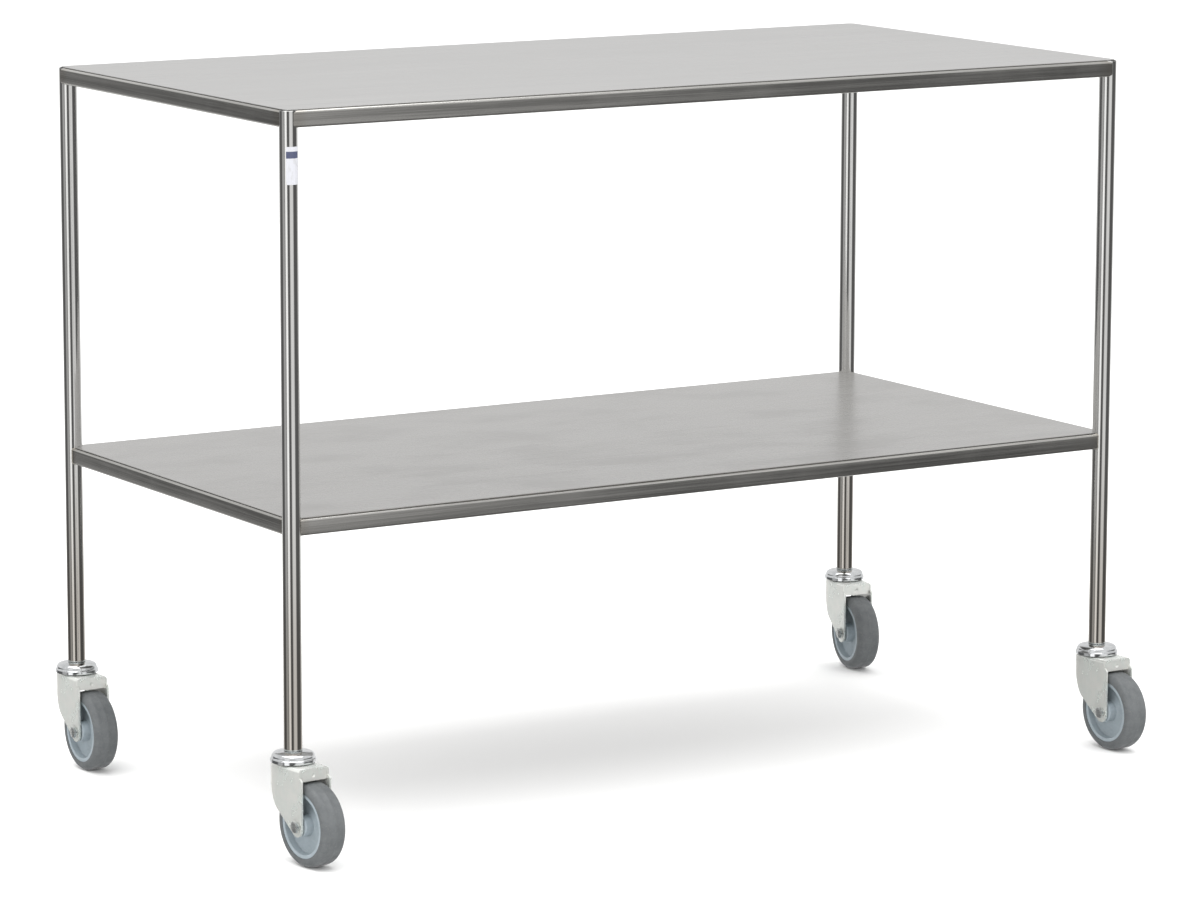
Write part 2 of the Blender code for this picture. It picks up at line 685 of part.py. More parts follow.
def build_casters(table):
    fixed = {"plug": plug_mesh(), "stem": stem_mesh(), "dome": dome_mesh()}
    swivelling = {"fork": fork_mesh(), "ball_ring": ball_ring_mesh()}
    clamped = {
        "axle_bolt": axle_bolt_mesh(),
        "axle_nut": axle_nut_mesh(),
        "axle_sleeve": axle_sleeve_mesh(),
    }
    rolling = {"wheel_core": wheel_core_mesh(), "tyre": tyre_mesh()}
    for corner, (sign_x, sign_y) in CORNERS.items():
        foot = (sign_x * LEG_X, sign_y * LEG_Y, 0)
        for piece, data in fixed.items():
            place(f"{piece}_{corner}", data, table, foot)
        swivel = pivot("swivel_axis_" + corner, table, foot, CASTER_HEADINGS[corner])
        for piece, data in swivelling.items():
            place(f"{piece}_{corner}", data, swivel)
        axle = pivot("axle_axis_" + corner, swivel, (CASTER_TRAIL, 0, AXLE_HEIGHT))
        for piece, data in {**clamped, **rolling}.items():
            place(f"{piece}_{corner}", data, axle)


for existing in list(bpy.data.objects):
    bpy.data.objects.remove(existing)
build_casters(build_table())
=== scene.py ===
import json
import math

import bmesh
import bpy
from mathutils import Matrix, Vector


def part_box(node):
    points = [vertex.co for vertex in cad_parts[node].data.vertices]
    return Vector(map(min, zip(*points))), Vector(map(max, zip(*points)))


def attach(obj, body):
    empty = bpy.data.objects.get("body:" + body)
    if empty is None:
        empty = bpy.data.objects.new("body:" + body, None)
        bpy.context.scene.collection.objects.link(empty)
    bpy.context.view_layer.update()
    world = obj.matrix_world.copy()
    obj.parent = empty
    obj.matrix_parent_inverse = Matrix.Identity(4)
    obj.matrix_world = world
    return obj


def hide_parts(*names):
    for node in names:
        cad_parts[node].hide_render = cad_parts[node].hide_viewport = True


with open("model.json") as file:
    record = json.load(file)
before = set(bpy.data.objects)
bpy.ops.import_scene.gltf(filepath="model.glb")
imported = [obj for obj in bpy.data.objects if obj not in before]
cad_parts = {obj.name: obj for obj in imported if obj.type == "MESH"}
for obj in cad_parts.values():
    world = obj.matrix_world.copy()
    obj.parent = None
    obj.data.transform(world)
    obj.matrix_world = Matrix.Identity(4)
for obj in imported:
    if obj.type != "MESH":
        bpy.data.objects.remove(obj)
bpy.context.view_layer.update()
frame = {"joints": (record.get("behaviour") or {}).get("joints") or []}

# ------------------------------------------------------------------------------------------------
# Leg tubes.  Four lengths of 22 mm stainless tube, polished bright along their length.  They stand
# the full height of the table: the worktop sheet covers their tops and a caster plug closes each
# foot.  Near the floor the base colour is painted darker and warm: a painted reflection of the floor
# in the polished tube.
CORNERS = ("front_left", "front_right", "back_left", "back_right")
joints = {joint["name"]: joint for joint in frame["joints"]}
feet = {}
for corner in CORNERS:
    swivel_point = joints["swivel_" + corner]["pos_m"]
    feet[corner] = Vector((swivel_point[0], swivel_point[1], 0.0))
table_centre = sum(feet.values(), Vector()) / len(feet)
leg_spacing = (feet["back_right"] - feet["front_left"]) / 2

LEG_RADIUS = 0.011
LEG_WALL = 0.0012
LEG_SEGMENTS = 96
EDGE_BREAK = 0.0003
SHARP_ANGLE = math.radians(32)


def circle(radius, segments, centre=(0.0, 0.0)):
    """A closed ring of points."""
    angles = [k * math.tau / segments for k in range(segments)]
    return [(centre[0] + radius * math.cos(a), centre[1] + radius * math.sin(a)) for a in angles]


def arc(centre, radius, start, end, steps):
    """Points on an arc, both ends included."""
    angles = [start + (end - start) * k / steps for k in range(steps + 1)]
    return [(centre[0] + radius * math.cos(a), centre[1] + radius * math.sin(a)) for a in angles]


def turned(profile, segments, closed=True):
    """A profile of (radius, height) turned about Z into one closed skin."""
    shape = bmesh.new()
    rings = []
    for radius, height in profile:
        if radius == 0:
            rings.append([shape.verts.new((0, 0, height))])
            continue
        rings.append([shape.verts.new((u, v, height)) for u, v in circle(radius, segments)])
    pairs = list(zip(rings, rings[1:]))
    if closed:
        pairs.append((rings[-1], rings[0]))
    for lower, upper in pairs:
        for k in range(segments):
            after = (k + 1) % segments
            ends = [lower[k % len(lower)], lower[after % len(lower)]]
            ends += [upper[after % len(upper)], upper[k % len(upper)]]
            shape.faces.new(list(dict.fromkeys(ends)))
    bmesh.ops.recalc_face_normals(shape, faces=shape.faces)
    return shape


def as_master(shape, name, sharp_angle=SHARP_ANGLE):
    """Turn a working shape into smooth mesh data that remembers where each point was made."""
    mesh = bpy.data.meshes.new(name)
    shape.to_mesh(mesh)
    shape.free()
    made_at = mesh.attributes.new("made_at", "FLOAT_VECTOR", "POINT")
    for vertex, stored in zip(mesh.vertices, made_at.data):
        stored.vector = vertex.co
    mesh.shade_smooth()
    mesh.set_sharp_from_angle(angle=sharp_angle)
    return mesh


def make_piece(name, master, material, body, nodes=(), place=None):
    """Put one copy of a master in place, on its body, standing for its CAD nodes."""
    mesh = master.copy()
    mesh.name = name
    if place is not None:
        mesh.transform(place)
    mesh.materials.clear()
    mesh.materials.append(material)
    piece = bpy.data.objects.new(name, mesh)
    bpy.context.scene.collection.objects.link(piece)
    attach(piece, body)
    if nodes:
        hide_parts(*nodes)
    return piece


def new_group(name, inputs, outputs):
    """A shader node group with named sockets; returns it with its input and output nodes."""
    group = bpy.data.node_groups.new(name, "ShaderNodeTree")
    for label, kind, value in inputs:
        socket = group.interface.new_socket(label, in_out="INPUT", socket_type=kind)
        socket.default_value = value
    for label, kind in outputs:
        group.interface.new_socket(label, in_out="OUTPUT", socket_type=kind)
    return group, group.nodes.new("NodeGroupInput"), group.nodes.new("NodeGroupOutput")


def set_or_link(tree, socket, value):
    """Feed a socket from another socket, or set it to a number, vector or colour."""
    if isinstance(value, bpy.types.NodeSocket):
        tree.links.new(value, socket)
    elif isinstance(value, tuple) and socket.type == "RGBA":
        socket.default_value = (*value, 1.0)
    else:
        socket.default_value = value


def vector_node(tree, operation, first, second):
    node = tree.nodes.new("ShaderNodeVectorMath")
    node.operation = operation
    set_or_link(tree, node.inputs[0], first)
    set_or_link(tree, node.inputs[1], second)
    return node.outputs[0]


def math_node(tree, operation, first, second=0.0):
    node = tree.nodes.new("ShaderNodeMath")
    node.operation = operation
    set_or_link(tree, node.inputs[0], first)
    set_or_link(tree, node.inputs[1], second)
    return node.outputs[0]


def cloud(tree, place, scale, detail, roughness):
    """Noise read at a stretched position; scale is a socket or three numbers."""
    noise = tree.nodes.new("ShaderNodeTexNoise")
    noise.inputs["Scale"].default_value = 1.0
    noise.inputs["Detail"].default_value = detail
    noise.inputs["Roughness"].default_value = roughness
    tree.links.new(vector_node(tree, "MULTIPLY", place, scale), noise.inputs["Vector"])
    return noise.outputs["Fac"]


def ranged(tree, value, low, high, to_low, to_high):
    """Map a value smoothly from one range to another, clamped."""
    node = tree.nodes.new("ShaderNodeMapRange")
    node.interpolation_type = "SMOOTHSTEP"
    for label, amount in (
        ("Value", value), ("From Min", low), ("From Max", high), ("To Min", to_low), ("To Max", to_high)
    ):
        set_or_link(tree, node.inputs[label], amount)
    return node.outputs["Result"]


def mixed(tree, fac, first, second):
    """Mix two colours; each is a socket or a colour."""
    node = tree.nodes.new("ShaderNodeMix")
    node.data_type = "RGBA"
    set_or_link(tree, node.inputs[0], fac)
    set_or_link(tree, node.inputs[6], first)
    set_or_link(tree, node.inputs[7], second)
    return node.outputs[2]


def place_group(tree, group, values):
    """Use a node group in a tree, with its inputs set or linked; returns its outputs."""
    node = tree.nodes.new("ShaderNodeGroup")
    node.node_tree = group
    for label, value in values.items():
        set_or_link(tree, node.inputs[label], value)
    return node.outputs


# Grain left by an abrasive belt: fine scratches and broader streaks, long in one direction.
BROAD_SHARE = (0.18, 0.18, 0.18)
grain_group, grain_in, grain_out = new_group(
    "belt_grain",
    (("Position", "NodeSocketVector", (0, 0, 0)), ("Scratches", "NodeSocketVector", (1, 1, 1))),
    (("Tone", "NodeSocketFloat"), ("Height", "NodeSocketFloat")),
)
scratches = grain_in.outputs["Scratches"]
fine = cloud(grain_group, grain_in.outputs["Position"], scratches, 3.0, 0.6)
broad_scale = vector_node(grain_group, "MULTIPLY", scratches, BROAD_SHARE)
broad = cloud(grain_group, grain_in.outputs["Position"], broad_scale, 2.0, 0.5)
average = math_node(grain_group, "MULTIPLY", math_node(grain_group, "ADD", fine, broad), 0.5)
grain_group.links.new(average, grain_out.inputs["Tone"])
grain_group.links.new(fine, grain_out.inputs["Height"])

# Smears and dried drops left by wiping: soft cloudy patches with a few small round marks.
SMEAR_SCALE = (6.0, 10.0, 5.0)
DROPS_PER_METRE = 42.0
DROP_SIZE = (0.05, 0.11)
DROP_CLUSTERS = (19.0, 19.0, 19.0)
wipe_group, wipe_in, wipe_out = new_group(
    "wipe_marks",
    (("Position", "NodeSocketVector", (0, 0, 0)),),
    (("Smear", "NodeSocketFloat"), ("Drops", "NodeSocketFloat")),
)
wiped_at = wipe_in.outputs["Position"]
smears = ranged(wipe_group, cloud(wipe_group, wiped_at, SMEAR_SCALE, 5.0, 0.62), 0.42, 0.66, 0.0, 1.0)
wipe_group.links.new(smears, wipe_out.inputs["Smear"])
drop_cells = wipe_group.nodes.new("ShaderNodeTexVoronoi")
drop_cells.inputs["Scale"].default_value = DROPS_PER_METRE
wipe_group.links.new(wiped_at, drop_cells.inputs["Vector"])
drop_shape = ranged(wipe_group, drop_cells.outputs["Distance"], *DROP_SIZE, 1.0, 0.0)
drop_rare = ranged(wipe_group, cloud(wipe_group, wiped_at, DROP_CLUSTERS, 1.0, 0.5), 0.58, 0.66, 0.0, 1.0)
wipe_group.links.new(math_node(wipe_group, "MULTIPLY", drop_shape, drop_rare), wipe_out.inputs["Drops"])


def new_material(name, metallic):
    """A material with an empty Principled shader; returns it, its tree and its shader."""
    material = bpy.data.materials.new(name)
    material.use_nodes = True
    shader = material.node_tree.nodes["Principled BSDF"]
    shader.inputs["Metallic"].default_value = metallic
    return material, material.node_tree, shader


def add_bump(tree, shader, height, strength, distance):
    bump = tree.nodes.new("ShaderNodeBump")
    bump.inputs["Strength"].default_value = strength
    bump.inputs["Distance"].default_value = distance
    tree.links.new(height, bump.inputs["Height"])
    tree.links.new(bump.outputs["Normal"], shader.inputs["Normal"])


SMEAR_SHADE = 0.8
DROP_SHADE = 0.62
GRAIN_BAND = (0.3, 0.7)
GROUND_BAND = (0.25, 0.75)
GROUND_SPREAD = (0.8, 1.25)
GRAIN_STRENGTH = 0.35


def steel_finish(name, tint, roughness, scratches, grain_depth, smear_depth, bump_distance):
    """Bare stainless steel with belt grain and wipe marks."""
    material, tree, shader = new_material(name, 1.0)
    place = tree.nodes.new("ShaderNodeTexCoord").outputs["Object"]
    grain = place_group(tree, grain_group, {"Position": place, "Scratches": scratches})
    wipes = place_group(tree, wipe_group, {"Position": place})
    dark = tuple(channel * (1 - grain_depth) for channel in tint)
    light = tuple(min(1.0, channel * (1 + grain_depth)) for channel in tint)
    colour = mixed(tree, ranged(tree, grain["Tone"], *GRAIN_BAND, 0.0, 1.0), dark, light)
    smear = math_node(tree, "MULTIPLY", wipes["Smear"], smear_depth)
    colour = mixed(tree, smear, colour, tuple(channel * SMEAR_SHADE for channel in tint))
    spot = math_node(tree, "MULTIPLY", wipes["Drops"], smear_depth)
    colour = mixed(tree, spot, colour, tuple(channel * DROP_SHADE for channel in tint))
    tree.links.new(colour, shader.inputs["Base Color"])
    smooth, coarse = (roughness * share for share in GROUND_SPREAD)
    ground = ranged(tree, grain["Tone"], *GROUND_BAND, smooth, coarse)
    smear_film_and_painted_reflection = math_node(tree, "MULTIPLY", wipes["Smear"], roughness * smear_depth)
    tree.links.new(math_node(tree, "ADD", ground, smear_film_and_painted_reflection), shader.inputs["Roughness"])
    add_bump(tree, shader, grain["Height"], GRAIN_STRENGTH, bump_distance)
    return material, tree, shader, place, colour


LEG_STEEL = (0.72, 0.715, 0.70)
# Painted floor reflection: a darker warm grey mixed into the leg colour near the floor.
LEG_FLOOR_REFLECTION = (0.47, 0.43, 0.38)
FLOOR_REFLECTION_LOW = 0.16
FLOOR_REFLECTION_HIGH = 0.44
FLOOR_REFLECTION_DEPTH = 0.75
leg_material, tree, shader, place, colour = steel_finish(
    "polished_leg_tube",
    tint=LEG_STEEL,
    roughness=0.085,
    scratches=(900.0, 900.0, 6.0),
    grain_depth=0.10,
    smear_depth=0.25,
    bump_distance=0.00002,
)
# Painted reflection of the floor: strongest at the foot, fading out further up the leg.
split = tree.nodes.new("ShaderNodeSeparateXYZ")
tree.links.new(place, split.inputs[0])
smear_film_and_painted_reflection = ranged(tree, split.outputs["Z"], FLOOR_REFLECTION_LOW, FLOOR_REFLECTION_HIGH, FLOOR_REFLECTION_DEPTH, 0.0)
tree.links.new(mixed(tree, smear_film_and_painted_reflection, colour, LEG_FLOOR_REFLECTION), shader.inputs["Base Color"])

leg_low, leg_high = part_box("leg_front_left")
bore = LEG_RADIUS - LEG_WALL
leg_profile = [
    (bore, leg_low.z),
    (LEG_RADIUS - EDGE_BREAK, leg_low.z),
    (LEG_RADIUS, leg_low.z + EDGE_BREAK),
    (LEG_RADIUS, leg_high.z - EDGE_BREAK),
    (LEG_RADIUS - EDGE_BREAK, leg_high.z),
    (bore, leg_high.z),
]
leg_master = as_master(turned(leg_profile, LEG_SEGMENTS), "leg")
for corner, foot in feet.items():
    make_piece(
        "leg_tube_" + corner,
        leg_master,
        leg_material,
        "table",
        ["leg_" + corner],
        Matrix.Translation(foot),
    )

# ------------------------------------------------------------------------------------------------
# Rails.  Two frames of 20 mm square tube with drawn corners.  Each rail is mitred behind the leg,
# coped to the leg's round and welded there; the top frame's outer welds are ground flush.
RAIL_SIZE = 0.020
RAIL_WALL = 0.0012
RAIL_CORNER = 0.003
RAIL_CORNER_STEPS = 6
WELD_GAP = 0.00005
MITRE_GAP = 0.0001
COPE_SEGMENTS = 48
CUT_PAST = 0.012
MERGE_DISTANCE = 0.000001
SIDES = {"front": 0.0, "right": math.pi / 2, "back": math.pi, "left": -math.pi / 2}


def rounded_box(half_u, half_v, radius, steps):
    """A closed outline with an arc at each corner, anticlockwise."""
    outline = []
    for quarter, (sign_u, sign_v) in enumerate(((1, 1), (-1, 1), (-1, -1), (1, -1))):
        start = quarter * math.pi / 2
        centre = (sign_u * (half_u - radius), sign_v * (half_v - radius))
        outline += arc(centre, radius, start, start + math.pi / 2, steps)
    return outline


def prism(outline, low, high):
    """The outline in XY, run from low to high in Z."""
    shape = bmesh.new()
    floor_face = shape.faces.new([shape.verts.new((u, v, low)) for u, v in outline])
    raised = bmesh.ops.extrude_face_region(shape, geom=[floor_face])
    moved = [item for item in raised["geom"] if isinstance(item, bmesh.types.BMVert)]
    bmesh.ops.translate(shape, vec=(0, 0, high - low), verts=moved)
    bmesh.ops.recalc_face_normals(shape, faces=shape.faces)
    return shape


def walled(outer, inner, low, high):
    """A wall between two outlines of equal count, open at both ends."""
    shape = bmesh.new()
    rings = []
    for outline, height in ((outer, low), (outer, high), (inner, high), (inner, low)):
        rings.append([shape.verts.new((u, v, height)) for u, v in outline])
    for first, second in zip(rings, rings[1:] + rings[:1]):
        for k in range(len(outer)):
            after = (k + 1) % len(outer)
            shape.faces.new((first[k], first[after], second[after], second[k]))
    bmesh.ops.recalc_face_normals(shape, faces=shape.faces)
    return shape


def combine(body, tool, operation):
    """Cut, join or intersect two working shapes with an exact Boolean."""
    held = []
    for shape in (body, tool):
        mesh = bpy.data.meshes.new("working")
        shape.to_mesh(mesh)
        shape.free()
        held.append(bpy.data.objects.new("working", mesh))
        bpy.context.scene.collection.objects.link(held[-1])
    cut = held[0].modifiers.new("cut", "BOOLEAN")
    cut.operation = operation
    cut.solver = "EXACT"
    cut.object = held[1]
    bpy.context.view_layer.update()
    result = bmesh.new()
    result.from_object(held[0], bpy.context.evaluated_depsgraph_get())
    for item in held:
        bpy.data.objects.remove(item)
    bmesh.ops.remove_doubles(result, verts=result.verts, dist=MERGE_DISTANCE)
    return result


def turn_shape(shape, angle, axis):
    bmesh.ops.rotate(shape, verts=shape.verts, matrix=Matrix.Rotation(angle, 3, axis))
    return shape


def shift_shape(shape, offset):
    bmesh.ops.translate(shape, verts=shape.verts, vec=offset)
    return shape


def rail_shape(span, out):
    """Square tube from leg to leg along X, its outer face at -Y, its bottom at zero."""
    half = RAIL_SIZE / 2
    outer = rounded_box(half, half, RAIL_CORNER, RAIL_CORNER_STEPS)
    inner_half = half - RAIL_WALL
    inner = rounded_box(inner_half, inner_half, RAIL_CORNER - RAIL_WALL, RAIL_CORNER_STEPS)
    bar = walled(outer, inner, -span / 2 - half, span / 2 + half)
    turn_shape(bar, math.pi / 2, "Y")
    shift_shape(bar, (0, half - out, half))
    reach = RAIL_SIZE + CUT_PAST
    for side in (1, -1):
        outline = arc((0, 0), LEG_RADIUS + WELD_GAP, math.pi / 2, math.pi * 5 / 4, COPE_SEGMENTS)
        outline[-1] = (outline[-1][0] - MITRE_GAP, outline[-1][1])
        outline += [(-reach - MITRE_GAP, -reach), (reach, -reach), (reach, out + reach), (0, out + reach)]
        cutter = prism(outline, -CUT_PAST, RAIL_SIZE + CUT_PAST)
        bmesh.ops.scale(cutter, vec=(side, -1, 1), verts=cutter.verts)
        bmesh.ops.recalc_face_normals(cutter, faces=cutter.faces)
        bar = combine(bar, shift_shape(cutter, (side * span / 2, 0, 0)), "DIFFERENCE")
    return bar


STRAW_TINT = (0.40, 0.345, 0.27)
TINT_NEAR = 0.012
TINT_FAR = 0.026
TINT_DEPTH = 0.25
RAIL_STEEL = (0.60, 0.59, 0.565)
rail_materials = {}
for name, scratches in (("lengthwise", (7.0, 900.0, 900.0)), ("crosswise", (900.0, 7.0, 900.0))):
    material, tree, shader, place, colour = steel_finish(
        "satin_rail_" + name,
        tint=RAIL_STEEL,
        roughness=0.18,
        scratches=scratches,
        grain_depth=0.22,
        smear_depth=0.35,
        bump_distance=0.00005,
    )
    centred = vector_node(tree, "SUBTRACT", place, (table_centre.x, table_centre.y, 0.0))
    folded = tree.nodes.new("ShaderNodeVectorMath")
    folded.operation = "ABSOLUTE"
    tree.links.new(centred, folded.inputs[0])
    from_leg = vector_node(tree, "SUBTRACT", folded.outputs[0], (leg_spacing.x, leg_spacing.y, 0.0))
    in_plan = vector_node(tree, "MULTIPLY", from_leg, (1.0, 1.0, 0.0))
    distance = tree.nodes.new("ShaderNodeVectorMath")
    distance.operation = "LENGTH"
    tree.links.new(in_plan, distance.inputs[0])
    heat_tint = ranged(tree, distance.outputs["Value"], TINT_NEAR, TINT_FAR, TINT_DEPTH, 0.0)
    tree.links.new(mixed(tree, heat_tint, colour, STRAW_TINT), shader.inputs["Base Color"])
    rail_materials[name] = material

rail_places = []
for level in ("top_rail", "shelf_rail"):
    level_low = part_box(level + "_front")[0]
    out = feet["front_left"].y - level_low.y
    masters = {}
    for side, turn in SIDES.items():
        run = "lengthwise" if side in ("front", "back") else "crosswise"
        half_span = leg_spacing.x if run == "lengthwise" else leg_spacing.y
        distance_out = leg_spacing.y if run == "lengthwise" else leg_spacing.x
        if run not in masters:
            masters[run] = as_master(rail_shape(2 * half_span, out), level + "_" + run)
        outward = Matrix.Rotation(turn, 3, "Z") @ Vector((0, -distance_out, 0))
        position = table_centre + outward + Vector((0, 0, level_low.z))
        rail_place = Matrix.Translation(position) @ Matrix.Rotation(turn, 4, "Z")
        rail_places.append((level, rail_place, 2 * half_span, out))
        make_piece(
            f"{level}_tube_{side}",
            masters[run],
            rail_materials[run],
            "table",
            [f"{level}_{side}"],
            rail_place,
        )

# ------------------------------------------------------------------------------------------------
# Weld beads.  TIG welds between each rail end and its leg, laid as overlapping small pools.  On the
# shelf frame they run round the whole end; on the top frame only those under the rail are left.
BEAD_PITCH = 0.0010
BEAD_LENGTH = 0.0010
BEAD_WIDTH = 0.0008
BEAD_HEIGHT = 0.0006
BEAD_SEED = 7
BEAD_SEGMENTS = 8
BEAD_RINGS = 5
BEAD_SMALLEST = (0.85, 0.8, 0.75)
BEAD_LARGEST = (1.15, 1.15, 1.2)
bead_material = steel_finish(
    "weld_bead",
    tint=(0.50, 0.47, 0.42),
    roughness=0.30,
    scratches=(400.0, 400.0, 400.0),
    grain_depth=0.25,
    smear_depth=0.0,
    bump_distance=0.00004,
)[0]


def geometry_tree(name, inputs, output):
    """An empty Geometry Nodes tree with named inputs; returns it with its two end nodes."""
    made = bpy.data.node_groups.new(name, "GeometryNodeTree")
    for label, kind in inputs:
        made.interface.new_socket(label, in_out="INPUT", socket_type=kind)
    made.interface.new_socket(output, in_out="OUTPUT", socket_type="NodeSocketGeometry")
    return made, made.nodes.new("NodeGroupInput").outputs, made.nodes.new("NodeGroupOutput").inputs


def join_up(made, *links):
    for source, target in links:
        made.links.new(source, target)


bead_tree, bead_in, bead_out = geometry_tree(
    "weld_run",
    (
        ("Path", "NodeSocketGeometry"),
        ("Pitch", "NodeSocketFloat"),
        ("Length", "NodeSocketFloat"),
        ("Width", "NodeSocketFloat"),
        ("Height", "NodeSocketFloat"),
        ("Finish", "NodeSocketMaterial"),
    ),
    "Beads",
)
as_curve = bead_tree.nodes.new("GeometryNodeMeshToCurve")
spaced = bead_tree.nodes.new("GeometryNodeCurveToPoints")
spaced.mode = "LENGTH"
pool = bead_tree.nodes.new("GeometryNodeMeshUVSphere")
pool.inputs["Segments"].default_value = BEAD_SEGMENTS
pool.inputs["Rings"].default_value = BEAD_RINGS
pool.inputs["Radius"].default_value = 1.0
pool_size = bead_tree.nodes.new("ShaderNodeCombineXYZ")
laid = bead_tree.nodes.new("GeometryNodeInstanceOnPoints")
uneven = bead_tree.nodes.new("FunctionNodeRandomValue")
uneven.data_type = "FLOAT_VECTOR"
uneven.inputs["Min"].default_value = BEAD_SMALLEST
uneven.inputs["Max"].default_value = BEAD_LARGEST
uneven.inputs["Seed"].default_value = BEAD_SEED
sized = bead_tree.nodes.new("ShaderNodeVectorMath")
sized.operation = "MULTIPLY"
solid = bead_tree.nodes.new("GeometryNodeRealizeInstances")
coated = bead_tree.nodes.new("GeometryNodeSetMaterial")
join_up(
    bead_tree,
    (bead_in["Path"], as_curve.inputs["Mesh"]),
    (as_curve.outputs["Curve"], spaced.inputs["Curve"]),
    (bead_in["Pitch"], spaced.inputs["Length"]),
    (bead_in["Length"], pool_size.inputs["Z"]),
    (bead_in["Width"], pool_size.inputs["Y"]),
    (bead_in["Height"], pool_size.inputs["X"]),
    (pool_size.outputs[0], sized.inputs[0]),
    (uneven.outputs["Value"], sized.inputs[1]),
    (spaced.outputs["Points"], laid.inputs["Points"]),
    (spaced.outputs["Rotation"], laid.inputs["Rotation"]),
    (pool.outputs["Mesh"], laid.inputs["Instance"]),
    (sized.outputs[0], laid.inputs["Scale"]),
    (laid.outputs["Instances"], solid.inputs["Geometry"]),
    (solid.outputs["Geometry"], coated.inputs["Geometry"]),
    (bead_in["Finish"], coated.inputs["Material"]),
    (coated.outputs["Geometry"], bead_out["Beads"]),
)


def grown(name, shape, made, values):
    """Run a Geometry Nodes tree on a shape and keep the result as a plain mesh."""
    start = bpy.data.meshes.new(name + "_start")
    shape.to_mesh(start)
    shape.free()
    seed = bpy.data.objects.new(name + "_start", start)
    bpy.context.scene.collection.objects.link(seed)
    modifier = seed.modifiers.new("grow", "NODES")
    modifier.node_group = made
    for item in made.interface.items_tree:
        if item.in_out == "INPUT" and item.name in values:
            modifier[item.identifier] = values[item.name]
    bpy.context.view_layer.update()
    mesh = bpy.data.meshes.new_from_object(seed.evaluated_get(bpy.context.evaluated_depsgraph_get()))
    seed.modifiers.remove(modifier)
    bpy.data.objects.remove(seed)
    mesh.name = name
    mesh.shade_smooth()
    return mesh


def weld_paths(level):
    """The line round each rail end of one frame where it meets its leg."""
    shape = bmesh.new()
    half = RAIL_SIZE / 2
    for rail_level, rail_place, span, out in rail_places:
        if rail_level != level:
            continue
        outline = rounded_box(half, half, RAIL_CORNER, RAIL_CORNER_STEPS)
        if level == "top_rail":
            outline = [(u, v) for u, v in outline if v < RAIL_CORNER - half and u > RAIL_CORNER - half]
        else:
            outline.append(outline[0])
        for end in (1, -1):
            run = []
            for across, height in outline:
                offset = across + half - out
                if offset > LEG_RADIUS / math.sqrt(2):
                    continue
                along = end * (span / 2 - math.sqrt(LEG_RADIUS ** 2 - min(abs(offset), LEG_RADIUS) ** 2))
                run.append(shape.verts.new(rail_place @ Vector((along, offset, height + half))))
            for first, second in zip(run, run[1:]):
                shape.edges.new((first, second))
    return shape


bead_sizes = {
    "Pitch": BEAD_PITCH,
    "Length": BEAD_LENGTH,
    "Width": BEAD_WIDTH,
    "Height": BEAD_HEIGHT,
    "Finish": bead_material,
}
for level, name in (("top_rail", "top_frame_welds"), ("shelf_rail", "shelf_frame_welds")):
    beads = grown(name, weld_paths(level), bead_tree, bead_sizes)
    make_piece(name, beads, bead_material, "table")

# ------------------------------------------------------------------------------------------------
# Worktop and shelf.  Two 1.2 mm stainless sheets with a belt grain along their length and a broken
# edge.  The worktop covers the leg tops; the shelf is notched round the legs.
SHEET_EDGE = 0.0004
SHEET_EDGE_STEPS = 2
SHEET_SHARP = math.radians(20)
SHEET_CORNER_STEPS = 16
SAME_HEIGHT = 0.00001
ROUND_PROFILE = 0.5


def soften_rim(shape, heights, width, segments):
    """Round all sharp edges that lie wholly at one of the heights."""
    rim = [
        edge
        for edge in shape.edges
        if any(all(abs(vert.co.z - height) < SAME_HEIGHT for vert in edge.verts) for height in heights)
        and edge.calc_face_angle(0) > SHARP_ANGLE
    ]
    bmesh.ops.bevel(shape, geom=rim, offset=width, segments=segments, profile=ROUND_PROFILE, affect="EDGES")
    return shape


worktop_material = steel_finish(
    "brushed_worktop",
    tint=(0.62, 0.615, 0.605),
    roughness=0.30,
    scratches=(5.0, 900.0, 900.0),
    grain_depth=0.05,
    smear_depth=0.10,
    bump_distance=0.00002,
)[0]
# The shelf is the same steel as the worktop; its darker tint is painted shade, a shaded copy of the
# worktop's colour.
shelf_material = steel_finish(
    "brushed_shelf",
    tint=(0.56, 0.55, 0.535),
    roughness=0.26,
    scratches=(5.0, 900.0, 900.0),
    grain_depth=0.06,
    smear_depth=0.16,
    bump_distance=0.00002,
)[0]

centre_place = Matrix.Translation(table_centre)
top_low, top_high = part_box("worktop")
half_size = (top_high - top_low) / 2
outline = rounded_box(half_size.x, half_size.y, LEG_RADIUS - RAIL_CORNER, SHEET_CORNER_STEPS)
sheet_heights = (top_low.z, top_high.z)
sheet = soften_rim(prism(outline, *sheet_heights), sheet_heights, SHEET_EDGE, SHEET_EDGE_STEPS)
make_piece(
    "worktop_sheet",
    as_master(sheet, "worktop", SHEET_SHARP),
    worktop_material,
    "table",
    ["worktop"],
    centre_place,
)

shelf_low, shelf_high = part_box("shelf")
half_size = (shelf_high - shelf_low) / 2
outline = [(half_size.x, half_size.y), (-half_size.x, half_size.y)]
outline += [(-half_size.x, -half_size.y), (half_size.x, -half_size.y)]
sheet = prism(outline, shelf_low.z, shelf_high.z)
notch_outline = circle(LEG_RADIUS + MITRE_GAP, LEG_SEGMENTS)
for corner, foot in feet.items():
    notch = prism(notch_outline, shelf_low.z - CUT_PAST, shelf_high.z + CUT_PAST)
    sheet = combine(sheet, shift_shape(notch, foot - table_centre), "DIFFERENCE")
soften_rim(sheet, (shelf_low.z, shelf_high.z), SHEET_EDGE, SHEET_EDGE_STEPS)
make_piece(
    "shelf_sheet",
    as_master(sheet, "shelf", SHEET_SHARP),
    shelf_material,
    "table",
    ["shelf"],
    centre_place,
)

